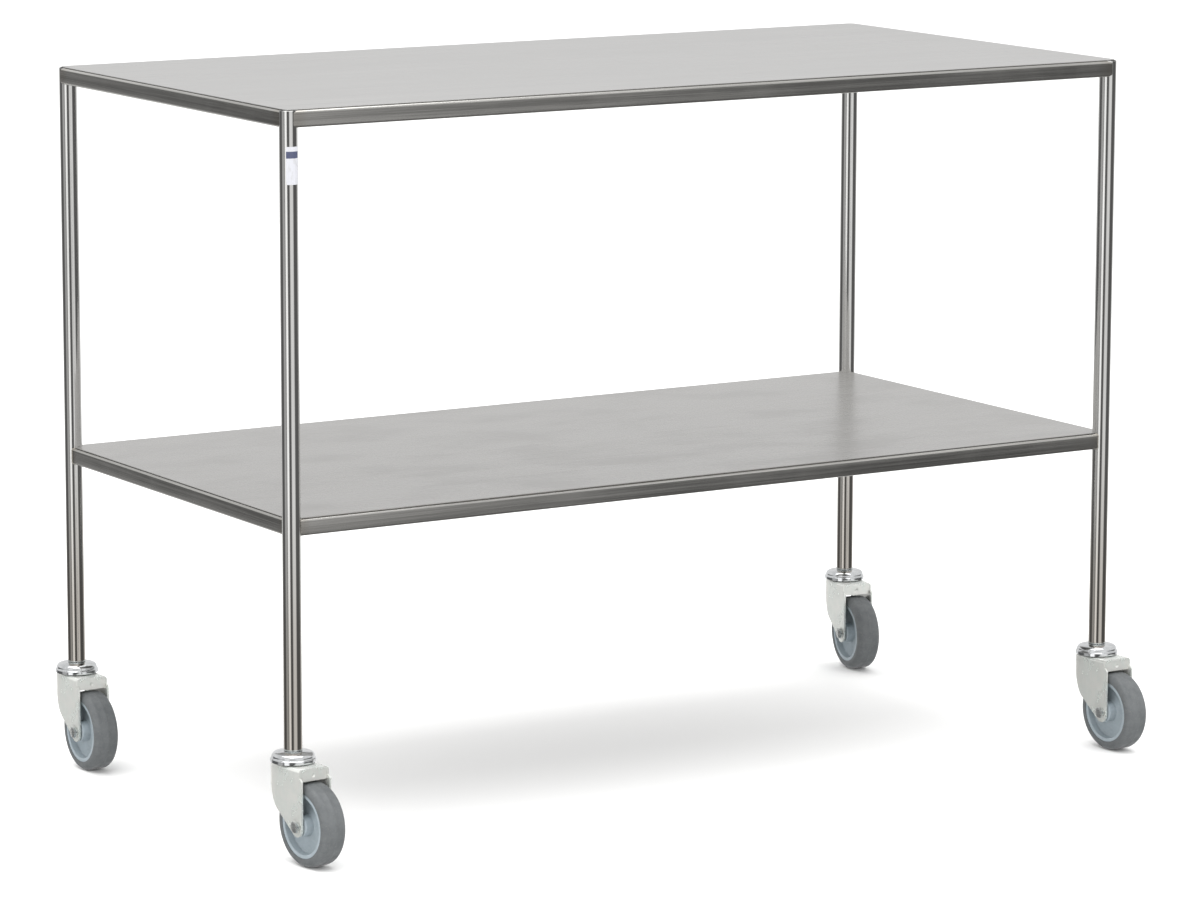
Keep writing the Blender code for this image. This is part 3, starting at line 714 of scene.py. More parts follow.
# ------------------------------------------------------------------------------------------------
# Stiffeners.  A folded hat channel runs under each sheet along its middle and stops drumming.  Its
# lips are spot welded to the sheet's underside; each spot leaves a shallow round dent.
STIFFENER_WIDTH = 0.060
STIFFENER_LIP = 0.012
STIFFENER_DEPTH = 0.016
STIFFENER_WALL = 0.0015
STIFFENER_BEND = 0.0025
BEND_STEPS = 5
SPOT_PITCH = 0.075
SPOT_RADIUS = 0.0028
SPOT_HEIGHT = 0.0003
SPOT_SEGMENTS = 16
SPOT_RINGS = 6
stiffener_material = steel_finish(
    "folded_stiffener",
    tint=(0.50, 0.50, 0.49),
    roughness=0.36,
    scratches=(12.0, 500.0, 500.0),
    grain_depth=0.12,
    smear_depth=0.4,
    bump_distance=0.00003,
)[0]


def rounded_path(points, radius, steps):
    """An open path whose inner corners are swapped for arcs."""
    path = [points[0]]
    for before, corner, after in zip(points, points[1:], points[2:]):
        corner = Vector(corner)
        towards = [(Vector(end) - corner).normalized() for end in (before, after)]
        half_angle = towards[0].angle(towards[1]) / 2
        setback = radius / math.tan(half_angle)
        middle = corner + (towards[0] + towards[1]).normalized() * radius / math.sin(half_angle)
        ends = [corner + way * setback - middle for way in towards]
        start = math.atan2(ends[0].y, ends[0].x)
        sweep = (math.atan2(ends[1].y, ends[1].x) - start + math.pi) % math.tau - math.pi
        path += arc(middle, radius, start, start + sweep, steps)
    return path + [points[-1]]


def folded_strip(points, bend, wall, steps):
    """Outline of a bent strip: one side follows the points, the other lies a wall inside."""
    near = rounded_path(points, bend, steps)
    normals = []
    for k in range(len(near)):
        before, after = near[max(k - 1, 0)], near[min(k + 1, len(near) - 1)]
        way = (Vector(after) - Vector(before)).normalized()
        normals.append(Vector((-way.y, way.x)))
    return near + [tuple(Vector(p) + n * wall) for p, n in reversed(list(zip(near, normals)))]


spot_tree, spot_in, spot_out = geometry_tree(
    "spot_welds",
    (("Path", "NodeSocketGeometry"), ("Pitch", "NodeSocketFloat"), ("Finish", "NodeSocketMaterial")),
    "Spots",
)
as_curve = spot_tree.nodes.new("GeometryNodeMeshToCurve")
spaced = spot_tree.nodes.new("GeometryNodeCurveToPoints")
spaced.mode = "LENGTH"
button = spot_tree.nodes.new("GeometryNodeMeshUVSphere")
button.inputs["Segments"].default_value = SPOT_SEGMENTS
button.inputs["Rings"].default_value = SPOT_RINGS
button.inputs["Radius"].default_value = 1.0
laid = spot_tree.nodes.new("GeometryNodeInstanceOnPoints")
laid.inputs["Scale"].default_value = (SPOT_RADIUS, SPOT_RADIUS, SPOT_HEIGHT)
solid = spot_tree.nodes.new("GeometryNodeRealizeInstances")
coated = spot_tree.nodes.new("GeometryNodeSetMaterial")
join_up(
    spot_tree,
    (spot_in["Path"], as_curve.inputs["Mesh"]),
    (as_curve.outputs["Curve"], spaced.inputs["Curve"]),
    (spot_in["Pitch"], spaced.inputs["Length"]),
    (spaced.outputs["Points"], laid.inputs["Points"]),
    (button.outputs["Mesh"], laid.inputs["Instance"]),
    (laid.outputs["Instances"], solid.inputs["Geometry"]),
    (solid.outputs["Geometry"], coated.inputs["Geometry"]),
    (spot_in["Finish"], coated.inputs["Material"]),
    (coated.outputs["Geometry"], spot_out["Spots"]),
)

for name in ("worktop_stiffener", "shelf_stiffener"):
    hat_low, hat_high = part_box(name)
    half_length = (hat_high.x - hat_low.x) / 2
    half_width = STIFFENER_WIDTH / 2
    lip = half_width + STIFFENER_LIP
    turning = [(lip, -STIFFENER_WALL), (half_width, -STIFFENER_WALL), (half_width, -STIFFENER_DEPTH)]
    turning += [(-half_width, -STIFFENER_DEPTH), (-half_width, -STIFFENER_WALL), (-lip, -STIFFENER_WALL)]
    section = folded_strip(turning[::-1], STIFFENER_BEND, STIFFENER_WALL, BEND_STEPS)
    hat = prism(section, -half_length, half_length)
    turn_shape(hat, math.pi / 2, "X")
    turn_shape(hat, math.pi / 2, "Z")
    hat_place = Matrix.Translation((table_centre.x, table_centre.y, hat_high.z))
    make_piece(
        name + "_hat", as_master(hat, name), stiffener_material, "table", [name], hat_place
    )
    lines = bmesh.new()
    reach = half_length - SPOT_PITCH / 2
    for sign in (1, -1):
        across = sign * (half_width + STIFFENER_LIP / 2)
        ends = [
            lines.verts.new(hat_place @ Vector((end * reach, across, -STIFFENER_WALL)))
            for end in (-1, 1)
        ]
        lines.edges.new(ends)
    spots = grown(name + "_spots", lines, spot_tree, {"Pitch": SPOT_PITCH, "Finish": stiffener_material})
    make_piece(name + "_spots", spots, stiffener_material, "table")

# ------------------------------------------------------------------------------------------------
# Label.  A coated paper label wraps part of the front left leg under the worktop.  It is blank but
# for one plain printed bar, and handling has greyed it in patches.
LABEL_WRAP = 0.00012
LABEL_WIDTH = 0.0165
LABEL_FACING = math.radians(270)
LABEL_CORNER = 0.0015
LABEL_ACROSS = 24
LABEL_UP = 60
label_low, label_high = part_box("leg_label")
label_half_height = (label_high.z - label_low.z) / 2


def label_shape():
    """A curved patch with round corners, as thick as the label, about the leg's axis."""
    shape = bmesh.new()
    skins = []
    for radius in (LEG_RADIUS + WELD_GAP, LEG_RADIUS + WELD_GAP + LABEL_WRAP):
        skin = []
        for row in range(LABEL_UP + 1):
            height = (2 * row / LABEL_UP - 1) * label_half_height
            into_corner = max(0.0, abs(height) - (label_half_height - LABEL_CORNER))
            shorter = LABEL_CORNER - math.sqrt(max(0.0, LABEL_CORNER ** 2 - into_corner ** 2))
            half_angle = (LABEL_WIDTH / 2 - shorter) / LEG_RADIUS
            points = []
            for column in range(LABEL_ACROSS + 1):
                angle = LABEL_FACING + (2 * column / LABEL_ACROSS - 1) * half_angle
                point = (radius * math.cos(angle), radius * math.sin(angle), height)
                points.append(shape.verts.new(point))
            skin.append(points)
        skins.append(skin)
    for skin in skins:
        for lower, upper in zip(skin, skin[1:]):
            for k in range(LABEL_ACROSS):
                shape.faces.new((lower[k], lower[k + 1], upper[k + 1], upper[k]))
    edges = []
    for skin in skins:
        loop = skin[0] + [row[-1] for row in skin[1:]] + skin[-1][-2::-1]
        edges.append(loop + [row[0] for row in reversed(skin[1:-1])])
    for k in range(len(edges[0])):
        after = (k + 1) % len(edges[0])
        shape.faces.new((edges[0][k], edges[0][after], edges[1][after], edges[1][k]))
    bmesh.ops.recalc_face_normals(shape, faces=shape.faces)
    return shape


def made_place(tree):
    """Where each point was when its master was made."""
    made_at = tree.nodes.new("ShaderNodeAttribute")
    made_at.attribute_name = "made_at"
    return made_at.outputs["Vector"]


LABEL_PAPER = (0.50, 0.505, 0.54)
LABEL_GREY = (0.40, 0.40, 0.40)
LABEL_INK = (0.012, 0.022, 0.085)
INK_LOW = 0.0085
INK_HIGH = 0.0165
INK_EDGE = 0.0003
INK_DEPTH = 0.9
GREYED_BAND = (0.45, 0.75)
GREYED_DEPTH = 0.6
LABEL_SHEEN = (0.32, 0.5)
label_material, tree, shader = new_material("coated_label", 0.0)
place = made_place(tree)
fibres = cloud(tree, place, (1400.0, 1400.0, 900.0), 3.0, 0.6)
handled = cloud(tree, place, (260.0, 260.0, 120.0), 4.0, 0.6)
paper = mixed(tree, ranged(tree, handled, *GREYED_BAND, 0.0, GREYED_DEPTH), LABEL_PAPER, LABEL_GREY)
split = tree.nodes.new("ShaderNodeSeparateXYZ")
tree.links.new(place, split.inputs[0])
above = ranged(tree, split.outputs["Z"], INK_LOW - INK_EDGE, INK_LOW + INK_EDGE, 0.0, 1.0)
below = ranged(tree, split.outputs["Z"], INK_HIGH - INK_EDGE, INK_HIGH + INK_EDGE, 1.0, 0.0)
printed = math_node(tree, "MULTIPLY", math_node(tree, "MULTIPLY", above, below), INK_DEPTH)
tree.links.new(mixed(tree, printed, paper, LABEL_INK), shader.inputs["Base Color"])
tree.links.new(ranged(tree, fibres, *GRAIN_BAND, *LABEL_SHEEN), shader.inputs["Roughness"])
add_bump(tree, shader, fibres, 0.2, 0.00002)
label_middle = Vector((0, 0, label_low.z + label_half_height))
make_piece(
    "leg_label_paper",
    as_master(label_shape(), "label"),
    label_material,
    "table",
    ["leg_label"],
    Matrix.Translation(feet["front_left"] + label_middle),
)

# ------------------------------------------------------------------------------------------------
# Caster plugs and stems.  A zinc plated insert is pressed into each leg's foot; its flange shows
# as a thin collar.  The caster's stem screws up into it, and its peened head lies under the fork.
TURN_SEGMENTS = 96
PLUG_FLANGE_BREAK = 0.0004
PLUG_RIB = 0.0003
PLUG_RIB_COUNT = 6
PLUG_FIT = 0.0001
STEM_RADIUS = 0.005
STEM_HEAD_RADIUS = 0.010
STEM_HEAD_HEIGHT = 0.005
STEM_CHAMFER = 0.0012
THREAD_PITCH = 0.0015
THREAD_DEPTH = 0.0007
THREAD_STEPS = 6
THREAD_SEGMENTS = 32


CLOUD_BAND = (0.35, 0.65)
DRAWN_BAND = (0.4, 0.75)
DRAWN_DEPTH = 0.8
PIT_BAND = (0.66, 0.8)
PIT_DEPTH = 0.25
PLATE_SPREAD = (0.8, 1.3)
PLATE_STRENGTH = 0.3


def plated_finish(name, tint, roughness, metallic, cloud_depth, cool_tint, bump_distance):
    """Bright plated steel: cloudy, faintly tinted and finely pitted, in the piece's own frame."""
    material, tree, shader = new_material(name, metallic)
    place = made_place(tree)
    clouds = cloud(tree, place, (70.0, 70.0, 45.0), 5.0, 0.6)
    drawn = cloud(tree, place, (500.0, 500.0, 40.0), 3.0, 0.6)
    pits = cloud(tree, place, (2600.0, 2600.0, 2600.0), 2.0, 0.5)
    colour = mixed(tree, ranged(tree, clouds, *CLOUD_BAND, 0.0, 1.0), tint, cool_tint)
    darker = tuple(channel * (1 - cloud_depth) for channel in tint)
    colour = mixed(tree, ranged(tree, drawn, *DRAWN_BAND, 0.0, DRAWN_DEPTH), colour, darker)
    colour = mixed(tree, ranged(tree, pits, *PIT_BAND, 0.0, PIT_DEPTH), colour, darker)
    tree.links.new(colour, shader.inputs["Base Color"])
    smooth, coarse = (roughness * share for share in PLATE_SPREAD)
    tree.links.new(ranged(tree, clouds, *GRAIN_BAND, smooth, coarse), shader.inputs["Roughness"])
    add_bump(tree, shader, drawn, PLATE_STRENGTH, bump_distance)
    return material


bright_steel = plated_finish(
    "zinc_plated_steel",
    tint=(0.62, 0.63, 0.62),
    roughness=0.24,
    metallic=0.85,
    cloud_depth=0.35,
    cool_tint=(0.58, 0.61, 0.60),
    bump_distance=0.00002,
)

plug_low, plug_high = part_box("plug_front_left")
dome_low, dome_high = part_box("dome_front_left")
fork_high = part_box("fork_front_left")[1]
stem_low, stem_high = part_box("stem_front_left")
flange_top = leg_low.z - WELD_GAP
body_radius = bore - PLUG_FIT
plug_bore = STEM_RADIUS + PLUG_FIT
plug_profile = [(plug_bore, plug_low.z), (LEG_RADIUS - PLUG_FLANGE_BREAK, plug_low.z)]
plug_profile.append((LEG_RADIUS, plug_low.z + PLUG_FLANGE_BREAK))
plug_profile.append((LEG_RADIUS, flange_top - PLUG_FLANGE_BREAK))
plug_profile += [(LEG_RADIUS - PLUG_FLANGE_BREAK, flange_top), (body_radius - PLUG_RIB, flange_top)]
rib_pitch = (plug_high.z - flange_top) / PLUG_RIB_COUNT
for k in range(PLUG_RIB_COUNT):
    rib_low = flange_top + k * rib_pitch
    groove = body_radius - PLUG_RIB
    for quarter, radius in enumerate((groove, body_radius, body_radius, groove), start=1):
        plug_profile.append((radius, rib_low + rib_pitch * quarter / 4))
plug_profile.append((plug_bore, plug_high.z))
plug_master = as_master(turned(plug_profile, TURN_SEGMENTS), "plug")


def threaded(low, high, radius, pitch, depth):
    """Rings of a screw thread from low to high, as (height, radius of each segment)."""
    count = round((high - low) / pitch * THREAD_STEPS)
    rings = []
    for step in range(count + 1):
        height = low + (high - low) * step / count
        faded = min(1.0, (height - low) / pitch, (high - height) / pitch)
        ring = []
        for k in range(THREAD_SEGMENTS):
            turn = (height / pitch - k / THREAD_SEGMENTS) % 1.0
            ring.append(radius - depth * faded * abs(2 * turn - 1))
        rings.append((height, ring))
    return rings


def stem_shape():
    """Peened head, plain neck and threaded shank in one skin."""
    head_high = stem_low.z + STEM_HEAD_HEIGHT
    plain = [(STEM_HEAD_RADIUS - STEM_CHAMFER, stem_low.z)]
    plain += [(STEM_HEAD_RADIUS, stem_low.z + STEM_CHAMFER), (STEM_HEAD_RADIUS, head_high)]
    plain += [(STEM_RADIUS, head_high), (STEM_RADIUS, dome_high.z)]
    rings = [(height, [radius] * THREAD_SEGMENTS) for radius, height in plain]
    thread_low, thread_high = dome_high.z + STEM_CHAMFER, stem_high.z - STEM_CHAMFER
    rings += threaded(thread_low, thread_high, STEM_RADIUS, THREAD_PITCH, THREAD_DEPTH)
    rings.append((stem_high.z, [STEM_RADIUS - STEM_CHAMFER] * THREAD_SEGMENTS))
    shape = bmesh.new()
    loops = []
    for height, radii in rings:
        angles = [k * math.tau / THREAD_SEGMENTS for k in range(THREAD_SEGMENTS)]
        points = [(r * math.cos(a), r * math.sin(a), height) for r, a in zip(radii, angles)]
        loops.append([shape.verts.new(point) for point in points])
    for lower, upper in zip(loops, loops[1:]):
        for k in range(THREAD_SEGMENTS):
            after = (k + 1) % THREAD_SEGMENTS
            shape.faces.new((lower[k], lower[after], upper[after], upper[k]))
    shape.faces.new(loops[0])
    shape.faces.new(loops[-1])
    bmesh.ops.recalc_face_normals(shape, faces=shape.faces)
    return shape


stem_master = as_master(stem_shape(), "stem")
for corner, foot in feet.items():
    foot_place = Matrix.Translation(foot)
    for part, master in (("plug", plug_master), ("stem", stem_master)):
        make_piece(
            f"{part}_turned_{corner}",
            master,
            bright_steel,
            "table",
            [f"{part}_{corner}"],
            foot_place,
        )

# ------------------------------------------------------------------------------------------------
# Dome.  A pressed and chromed cap over the ball race: a short skirt, a rolled step, a round
# shoulder and a top that rises a little towards the stem.
DOME_RADIUS = 0.027
DOME_WALL = 0.0012
DOME_SKIRT = 0.0042
DOME_STEP = 0.0014
DOME_SHOULDER = 0.0056
DOME_CROWN_RISE = 0.0012
DOME_ARC_STEPS = 10
DOME_ROLL = 0.0009
DOME_ROLL_STEPS = 6
DOME_SHOULDER_ENDS = (math.radians(8), math.radians(82))
DOME_SHARP = math.radians(50)


def dome_outline(inset):
    """The cap's outer line from the skirt up to the stem, moved inwards by an inset."""
    skirt_top = dome_low.z + DOME_SKIRT
    line = [(DOME_RADIUS - inset, dome_low.z), (DOME_RADIUS - inset, skirt_top - DOME_ROLL)]
    roll_centre = (DOME_RADIUS - DOME_ROLL, skirt_top - DOME_ROLL)
    roll_radius = max(DOME_ROLL - inset, DOME_ROLL / 4)
    line += arc(roll_centre, roll_radius, 0, math.pi / 2, DOME_ROLL_STEPS)[1:]
    groove = DOME_RADIUS - DOME_STEP - inset
    line.append((groove, skirt_top + DOME_ROLL / 2 - inset / 2))
    shoulder_high = dome_high.z - DOME_CROWN_RISE
    centre = (groove - DOME_SHOULDER + inset, shoulder_high - DOME_SHOULDER)
    line += arc(centre, DOME_SHOULDER - inset, *DOME_SHOULDER_ENDS, DOME_ARC_STEPS)
    line.append((LEG_RADIUS + DOME_WALL, dome_high.z - inset))
    line.append((STEM_RADIUS + PLUG_FIT, dome_high.z - inset))
    return line


dome_profile = dome_outline(0.0) + dome_outline(DOME_WALL)[::-1]
dome_master = as_master(turned(dome_profile, TURN_SEGMENTS), "dome", DOME_SHARP)

DOME_CHROME = (0.80, 0.815, 0.825)
DOME_HAZE = (0.62, 0.64, 0.65)
DOME_SPECK = (0.4, 0.41, 0.41)
HAZE_BAND = (0.45, 0.7)
SPECK_BAND = (0.68, 0.8)
DOME_MARK_DEPTH = 0.7
CHROME_ROUGHNESS = (0.05, 0.16)
CHROME_STRENGTH = 0.25
CHROME_WAVE = 0.0006
dome_material, tree, shader = new_material("bright_chrome", 1.0)
place = made_place(tree)
haze = cloud(tree, place, (90.0, 90.0, 90.0), 4.0, 0.6)
specks = cloud(tree, place, (1500.0, 1500.0, 1500.0), 2.0, 0.5)
waves = cloud(tree, place, (60.0, 60.0, 110.0), 1.0, 0.5)
colour = mixed(tree, ranged(tree, haze, *HAZE_BAND, 0.0, DOME_MARK_DEPTH), DOME_CHROME, DOME_HAZE)
colour = mixed(tree, ranged(tree, specks, *SPECK_BAND, 0.0, DOME_MARK_DEPTH), colour, DOME_SPECK)
tree.links.new(colour, shader.inputs["Base Color"])
tree.links.new(ranged(tree, haze, *DRAWN_BAND, *CHROME_ROUGHNESS), shader.inputs["Roughness"])
add_bump(tree, shader, waves, CHROME_STRENGTH, CHROME_WAVE)
for corner, foot in feet.items():
    make_piece(
        "dome_cap_" + corner,
        dome_master,
        dome_material,
        "table",
        ["dome_" + corner],
        Matrix.Translation(foot),
    )

# ------------------------------------------------------------------------------------------------
# Forks.  Each is pressed from 2.5 mm plate and bright zinc plated: a crown with a raised race, two
# cheeks bent down from it, a round front and an apron folded down behind, over the wheel.
axle_height = joints["roll_front_left"]["pos_m"][2]
WHEEL_WIDTH = 0.032
FORK_PLATE = 0.0025
FORK_SIDE_ROOM = 0.003
FORK_FRONT_RADIUS = 0.027
FORK_BEND = 0.004
FORK_BEND_STEPS = 6
FORK_TIP_RADIUS = 0.010
FORK_TIP_DROP = 0.003
FORK_REAR = 0.009
FORK_FRONT_DROP = 0.014
FORK_BOW = (0.012, 0.024)
FORK_HOLLOW = (0.014, 0.022)
FORK_THROAT = (0.003, 0.0145)
FORK_CORNER = 0.012
FORK_FRONT_STEPS = 30
FORK_CORNER_STEPS = 12
FORK_EDGE_STEPS = 18
FORK_EASE_STEPS = 6
APRON_DISTANCE = 0.042
APRON_ROOM = 0.003
APRON_DIMPLE_RADIUS = 0.004
APRON_DIMPLE_DEPTH = 0.0009
APRON_DIMPLE_SEGMENTS = 32
RACE_RADIUS = 0.0185
RACE_RISE = 0.0015
RACE_ROUND = 0.0009
RACE_ROUND_STEPS = 4
OVERLAP = 0.0005
STEM_CLEARANCE = 0.0006
AXLE_RADIUS = 0.004
HOLE_FIT = 0.0002
HOLE_SEGMENTS = 48

wheel_point = Vector(joints["roll_front_left"]["pos_m"])
caster_trail = (wheel_point - feet["front_left"]).to_2d().length
crown_top = fork_high.z - RACE_RISE
crown_underside = crown_top - FORK_PLATE
apron_bottom = 2 * axle_height + APRON_ROOM
fork_half = WHEEL_WIDTH / 2 + FORK_SIDE_ROOM + FORK_PLATE
fork_inner_half = fork_half - FORK_PLATE
fork_rear = caster_trail + FORK_REAR


def cubic(start, first, second, end, steps):
    """Points on a cubic curve, both ends included."""
    points = []
    for k in range(steps + 1):
        t = k / steps
        weights = ((1 - t) ** 3, 3 * t * (1 - t) ** 2, 3 * t * t * (1 - t), t ** 3)
        guides = list(zip(weights, (start, first, second, end)))
        points.append(tuple(sum(weight * guide[i] for weight, guide in guides) for i in (0, 1)))
    return points


def fork_plan(half_width, front_radius, corner_radius, rear):
    """The fork from above: a round front eased into straight sides, square behind."""
    corner_y = half_width - corner_radius
    corner_x = -math.sqrt((front_radius - corner_radius) ** 2 - corner_y ** 2)
    eased = math.atan2(corner_y, corner_x)
    corner = arc((corner_x, corner_y), corner_radius, math.pi / 2, eased, FORK_CORNER_STEPS)
    front = arc((0, 0), front_radius, eased, math.tau - eased, FORK_FRONT_STEPS)[1:-1]
    return [(rear, half_width)] + corner + front + [(u, -v) for u, v in corner[::-1]] + [(rear, -half_width)]


def fork_side():
    """The fork from the side: (distance behind the stem, height)."""
    above = crown_top + RACE_RISE + CUT_PAST
    start = (-FORK_FRONT_RADIUS - OVERLAP, crown_top - FORK_FRONT_DROP)
    bow = (-FORK_BOW[0], crown_top - FORK_BOW[1])
    hollow = (-FORK_HOLLOW[0], axle_height + FORK_HOLLOW[1])
    throat = (-FORK_THROAT[0], axle_height + FORK_THROAT[1])
    tip = (fork_rear - FORK_TIP_RADIUS, axle_height - FORK_TIP_DROP)
    across, down = tip[0] - throat[0], tip[1] - throat[1]
    touch = math.atan2(-down, -across) + math.acos(FORK_TIP_RADIUS / math.hypot(across, down))
    ease = fork_rear - APRON_DISTANCE
    outline = cubic(start, bow, hollow, throat, FORK_EDGE_STEPS)
    outline += arc(tip, FORK_TIP_RADIUS, touch % math.tau, math.tau, FORK_EDGE_STEPS)
    outline += arc((fork_rear - ease, apron_bottom), ease, 0, math.pi / 2, FORK_EASE_STEPS)
    return outline + [(APRON_DISTANCE, above), (start[0], above)]


def fork_shape():
    lowest = axle_height - 2 * FORK_TIP_RADIUS
    outer_plan = fork_plan(fork_half, FORK_FRONT_RADIUS, FORK_CORNER, fork_rear + OVERLAP)
    shell = prism(outer_plan, lowest, crown_top)
    soften_rim(shell, (crown_top,), FORK_BEND, FORK_BEND_STEPS)
    race = prism(circle(RACE_RADIUS, TURN_SEGMENTS), crown_top - OVERLAP, crown_top + RACE_RISE)
    shell = combine(shell, soften_rim(race, (crown_top + RACE_RISE,), RACE_ROUND, RACE_ROUND_STEPS), "UNION")
    inner_plan = fork_plan(
        fork_inner_half, FORK_FRONT_RADIUS - FORK_PLATE, FORK_CORNER - FORK_PLATE, fork_rear + CUT_PAST
    )
    room = prism(inner_plan, lowest - CUT_PAST, crown_underside)
    soften_rim(room, (crown_underside,), FORK_BEND - FORK_PLATE, FORK_BEND_STEPS)
    fork = combine(shell, room, "DIFFERENCE")
    side = turn_shape(prism(fork_side(), -fork_half - OVERLAP, fork_half + OVERLAP), math.pi / 2, "X")
    fork = combine(fork, side, "INTERSECT")
    apron_back = APRON_DISTANCE - OVERLAP
    apron_front = apron_back - FORK_PLATE
    apron_half = fork_inner_half + OVERLAP
    apron_plan = [(apron_front, -apron_half), (apron_back, -apron_half)]
    apron_plan += [(apron_back, apron_half), (apron_front, apron_half)]
    fork = combine(fork, prism(apron_plan, apron_bottom, crown_underside + OVERLAP), "UNION")
    stem_round = circle(STEM_RADIUS + STEM_CLEARANCE, HOLE_SEGMENTS)
    stem_hole = prism(stem_round, crown_underside - OVERLAP, crown_top + CUT_PAST)
    fork = combine(fork, stem_hole, "DIFFERENCE")
    axle_round = circle(AXLE_RADIUS + HOLE_FIT, HOLE_SEGMENTS)
    axle_hole = prism(axle_round, -fork_half - CUT_PAST, fork_half + CUT_PAST)
    turn_shape(axle_hole, math.pi / 2, "X")
    fork = combine(fork, shift_shape(axle_hole, (caster_trail, 0, axle_height)), "DIFFERENCE")
    dimple = bmesh.new()
    bmesh.ops.create_uvsphere(
        dimple,
        u_segments=APRON_DIMPLE_SEGMENTS,
        v_segments=APRON_DIMPLE_SEGMENTS // 2,
        radius=APRON_DIMPLE_RADIUS,
    )
    dimple_height = (apron_bottom + crown_underside) / 2
    dimple_centre = apron_back + APRON_DIMPLE_RADIUS - APRON_DIMPLE_DEPTH
    shift_shape(dimple, (dimple_centre, 0, dimple_height))
    return combine(fork, dimple, "DIFFERENCE")


fork_master = as_master(fork_shape(), "fork")
fork_material = plated_finish(
    "bright_zinc_plate",
    tint=(0.80, 0.80, 0.765),
    roughness=0.23,
    metallic=0.52,
    cloud_depth=0.07,
    cool_tint=(0.71, 0.755, 0.72),
    bump_distance=0.00002,
)
swivel_places = {}
axle_places = {}
for corner, foot in feet.items():
    trail_way = (Vector(joints["roll_" + corner]["pos_m"]) - foot).to_2d()
    heading = math.atan2(trail_way.y, trail_way.x)
    swivel_places[corner] = Matrix.Translation(foot) @ Matrix.Rotation(heading, 4, "Z")
    axle_offset = Matrix.Translation((caster_trail, 0, axle_height))
    axle_places[corner] = swivel_places[corner] @ axle_offset @ Matrix.Rotation(math.pi / 2, 4, "X")
    make_piece(
        "fork_pressing_" + corner,
        fork_master,
        fork_material,
        "caster_" + corner,
        ["fork_" + corner],
        swivel_places[corner],
    )

# ------------------------------------------------------------------------------------------------
# Ball rings.  Ten steel balls in a wire cage run between the fork's raised race and the dome.
BALL_CIRCLE_RADIUS = 0.0155
BALL_RADIUS = 0.0025
BALL_COUNT = 10
BALL_REST = 0.0001
CAGE_WIRE_RADIUS = 0.0006
BALL_SEGMENTS = 24
BALL_RINGS = 12
WIRE_SEGMENTS = 10
ball_tree, ball_in, ball_out = geometry_tree(
    "ball_race",
    (
        ("Start", "NodeSocketGeometry"),
        ("Balls", "NodeSocketInt"),
        ("Circle radius", "NodeSocketFloat"),
        ("Ball radius", "NodeSocketFloat"),
        ("Wire radius", "NodeSocketFloat"),
        ("Finish", "NodeSocketMaterial"),
    ),
    "Race",
)
around = ball_tree.nodes.new("GeometryNodeMeshCircle")
ball = ball_tree.nodes.new("GeometryNodeMeshUVSphere")
ball.inputs["Segments"].default_value = BALL_SEGMENTS
ball.inputs["Rings"].default_value = BALL_RINGS
laid = ball_tree.nodes.new("GeometryNodeInstanceOnPoints")
wire_path = ball_tree.nodes.new("GeometryNodeCurvePrimitiveCircle")
wire_path.inputs["Resolution"].default_value = TURN_SEGMENTS
wire_section = ball_tree.nodes.new("GeometryNodeCurvePrimitiveCircle")
wire_section.inputs["Resolution"].default_value = WIRE_SEGMENTS
wire = ball_tree.nodes.new("GeometryNodeCurveToMesh")
both = ball_tree.nodes.new("GeometryNodeJoinGeometry")
solid = ball_tree.nodes.new("GeometryNodeRealizeInstances")
coated = ball_tree.nodes.new("GeometryNodeSetMaterial")
join_up(
    ball_tree,
    (ball_in["Balls"], around.inputs["Vertices"]),
    (ball_in["Circle radius"], around.inputs["Radius"]),
    (ball_in["Ball radius"], ball.inputs["Radius"]),
    (around.outputs["Mesh"], laid.inputs["Points"]),
    (ball.outputs["Mesh"], laid.inputs["Instance"]),
    (ball_in["Circle radius"], wire_path.inputs["Radius"]),
    (ball_in["Wire radius"], wire_section.inputs["Radius"]),
    (wire_path.outputs["Curve"], wire.inputs["Curve"]),
    (wire_section.outputs["Curve"], wire.inputs["Profile Curve"]),
    (wire.outputs["Mesh"], both.inputs["Geometry"]),
    (laid.outputs["Instances"], both.inputs["Geometry"]),
    (both.outputs["Geometry"], solid.inputs["Geometry"]),
    (solid.outputs["Geometry"], coated.inputs["Geometry"]),
    (ball_in["Finish"], coated.inputs["Material"]),
    (coated.outputs["Geometry"], ball_out["Race"]),
)
race_values = {
    "Balls": BALL_COUNT,
    "Circle radius": BALL_CIRCLE_RADIUS,
    "Ball radius": BALL_RADIUS,
    "Wire radius": CAGE_WIRE_RADIUS,
    "Finish": bright_steel,
}
ball_height = crown_top + RACE_RISE + BALL_REST + BALL_RADIUS
for corner, swivel_place in swivel_places.items():
    race_mesh = grown("ball_race_" + corner, bmesh.new(), ball_tree, race_values)
    make_piece(
        "ball_race_" + corner,
        race_mesh,
        bright_steel,
        "caster_" + corner,
        ["ball_ring_" + corner],
        swivel_place @ Matrix.Translation((0, 0, ball_height)),
    )

# ------------------------------------------------------------------------------------------------
# Axle pieces.  A hexagon bolt through both cheeks clamps a spacer tube between them with a nut at
# the far end; the wheel turns on the spacer.  All are zinc plated and made about the axle.
HEX_RADIUS = 0.0075
HEX_SIDES = 6
HEX_CHAMFER = math.radians(30)
BOLT_HEAD_HEIGHT = 0.0050
NUT_HEIGHT = 0.0055
WASHER_FACE = 0.0003
WASHER_SHARE = 0.97
CROWN_SHARE = 0.94
SEAT_GAP = 0.0003
SLEEVE_WALL = 0.0017
SLEEVE_FIT = 0.0003


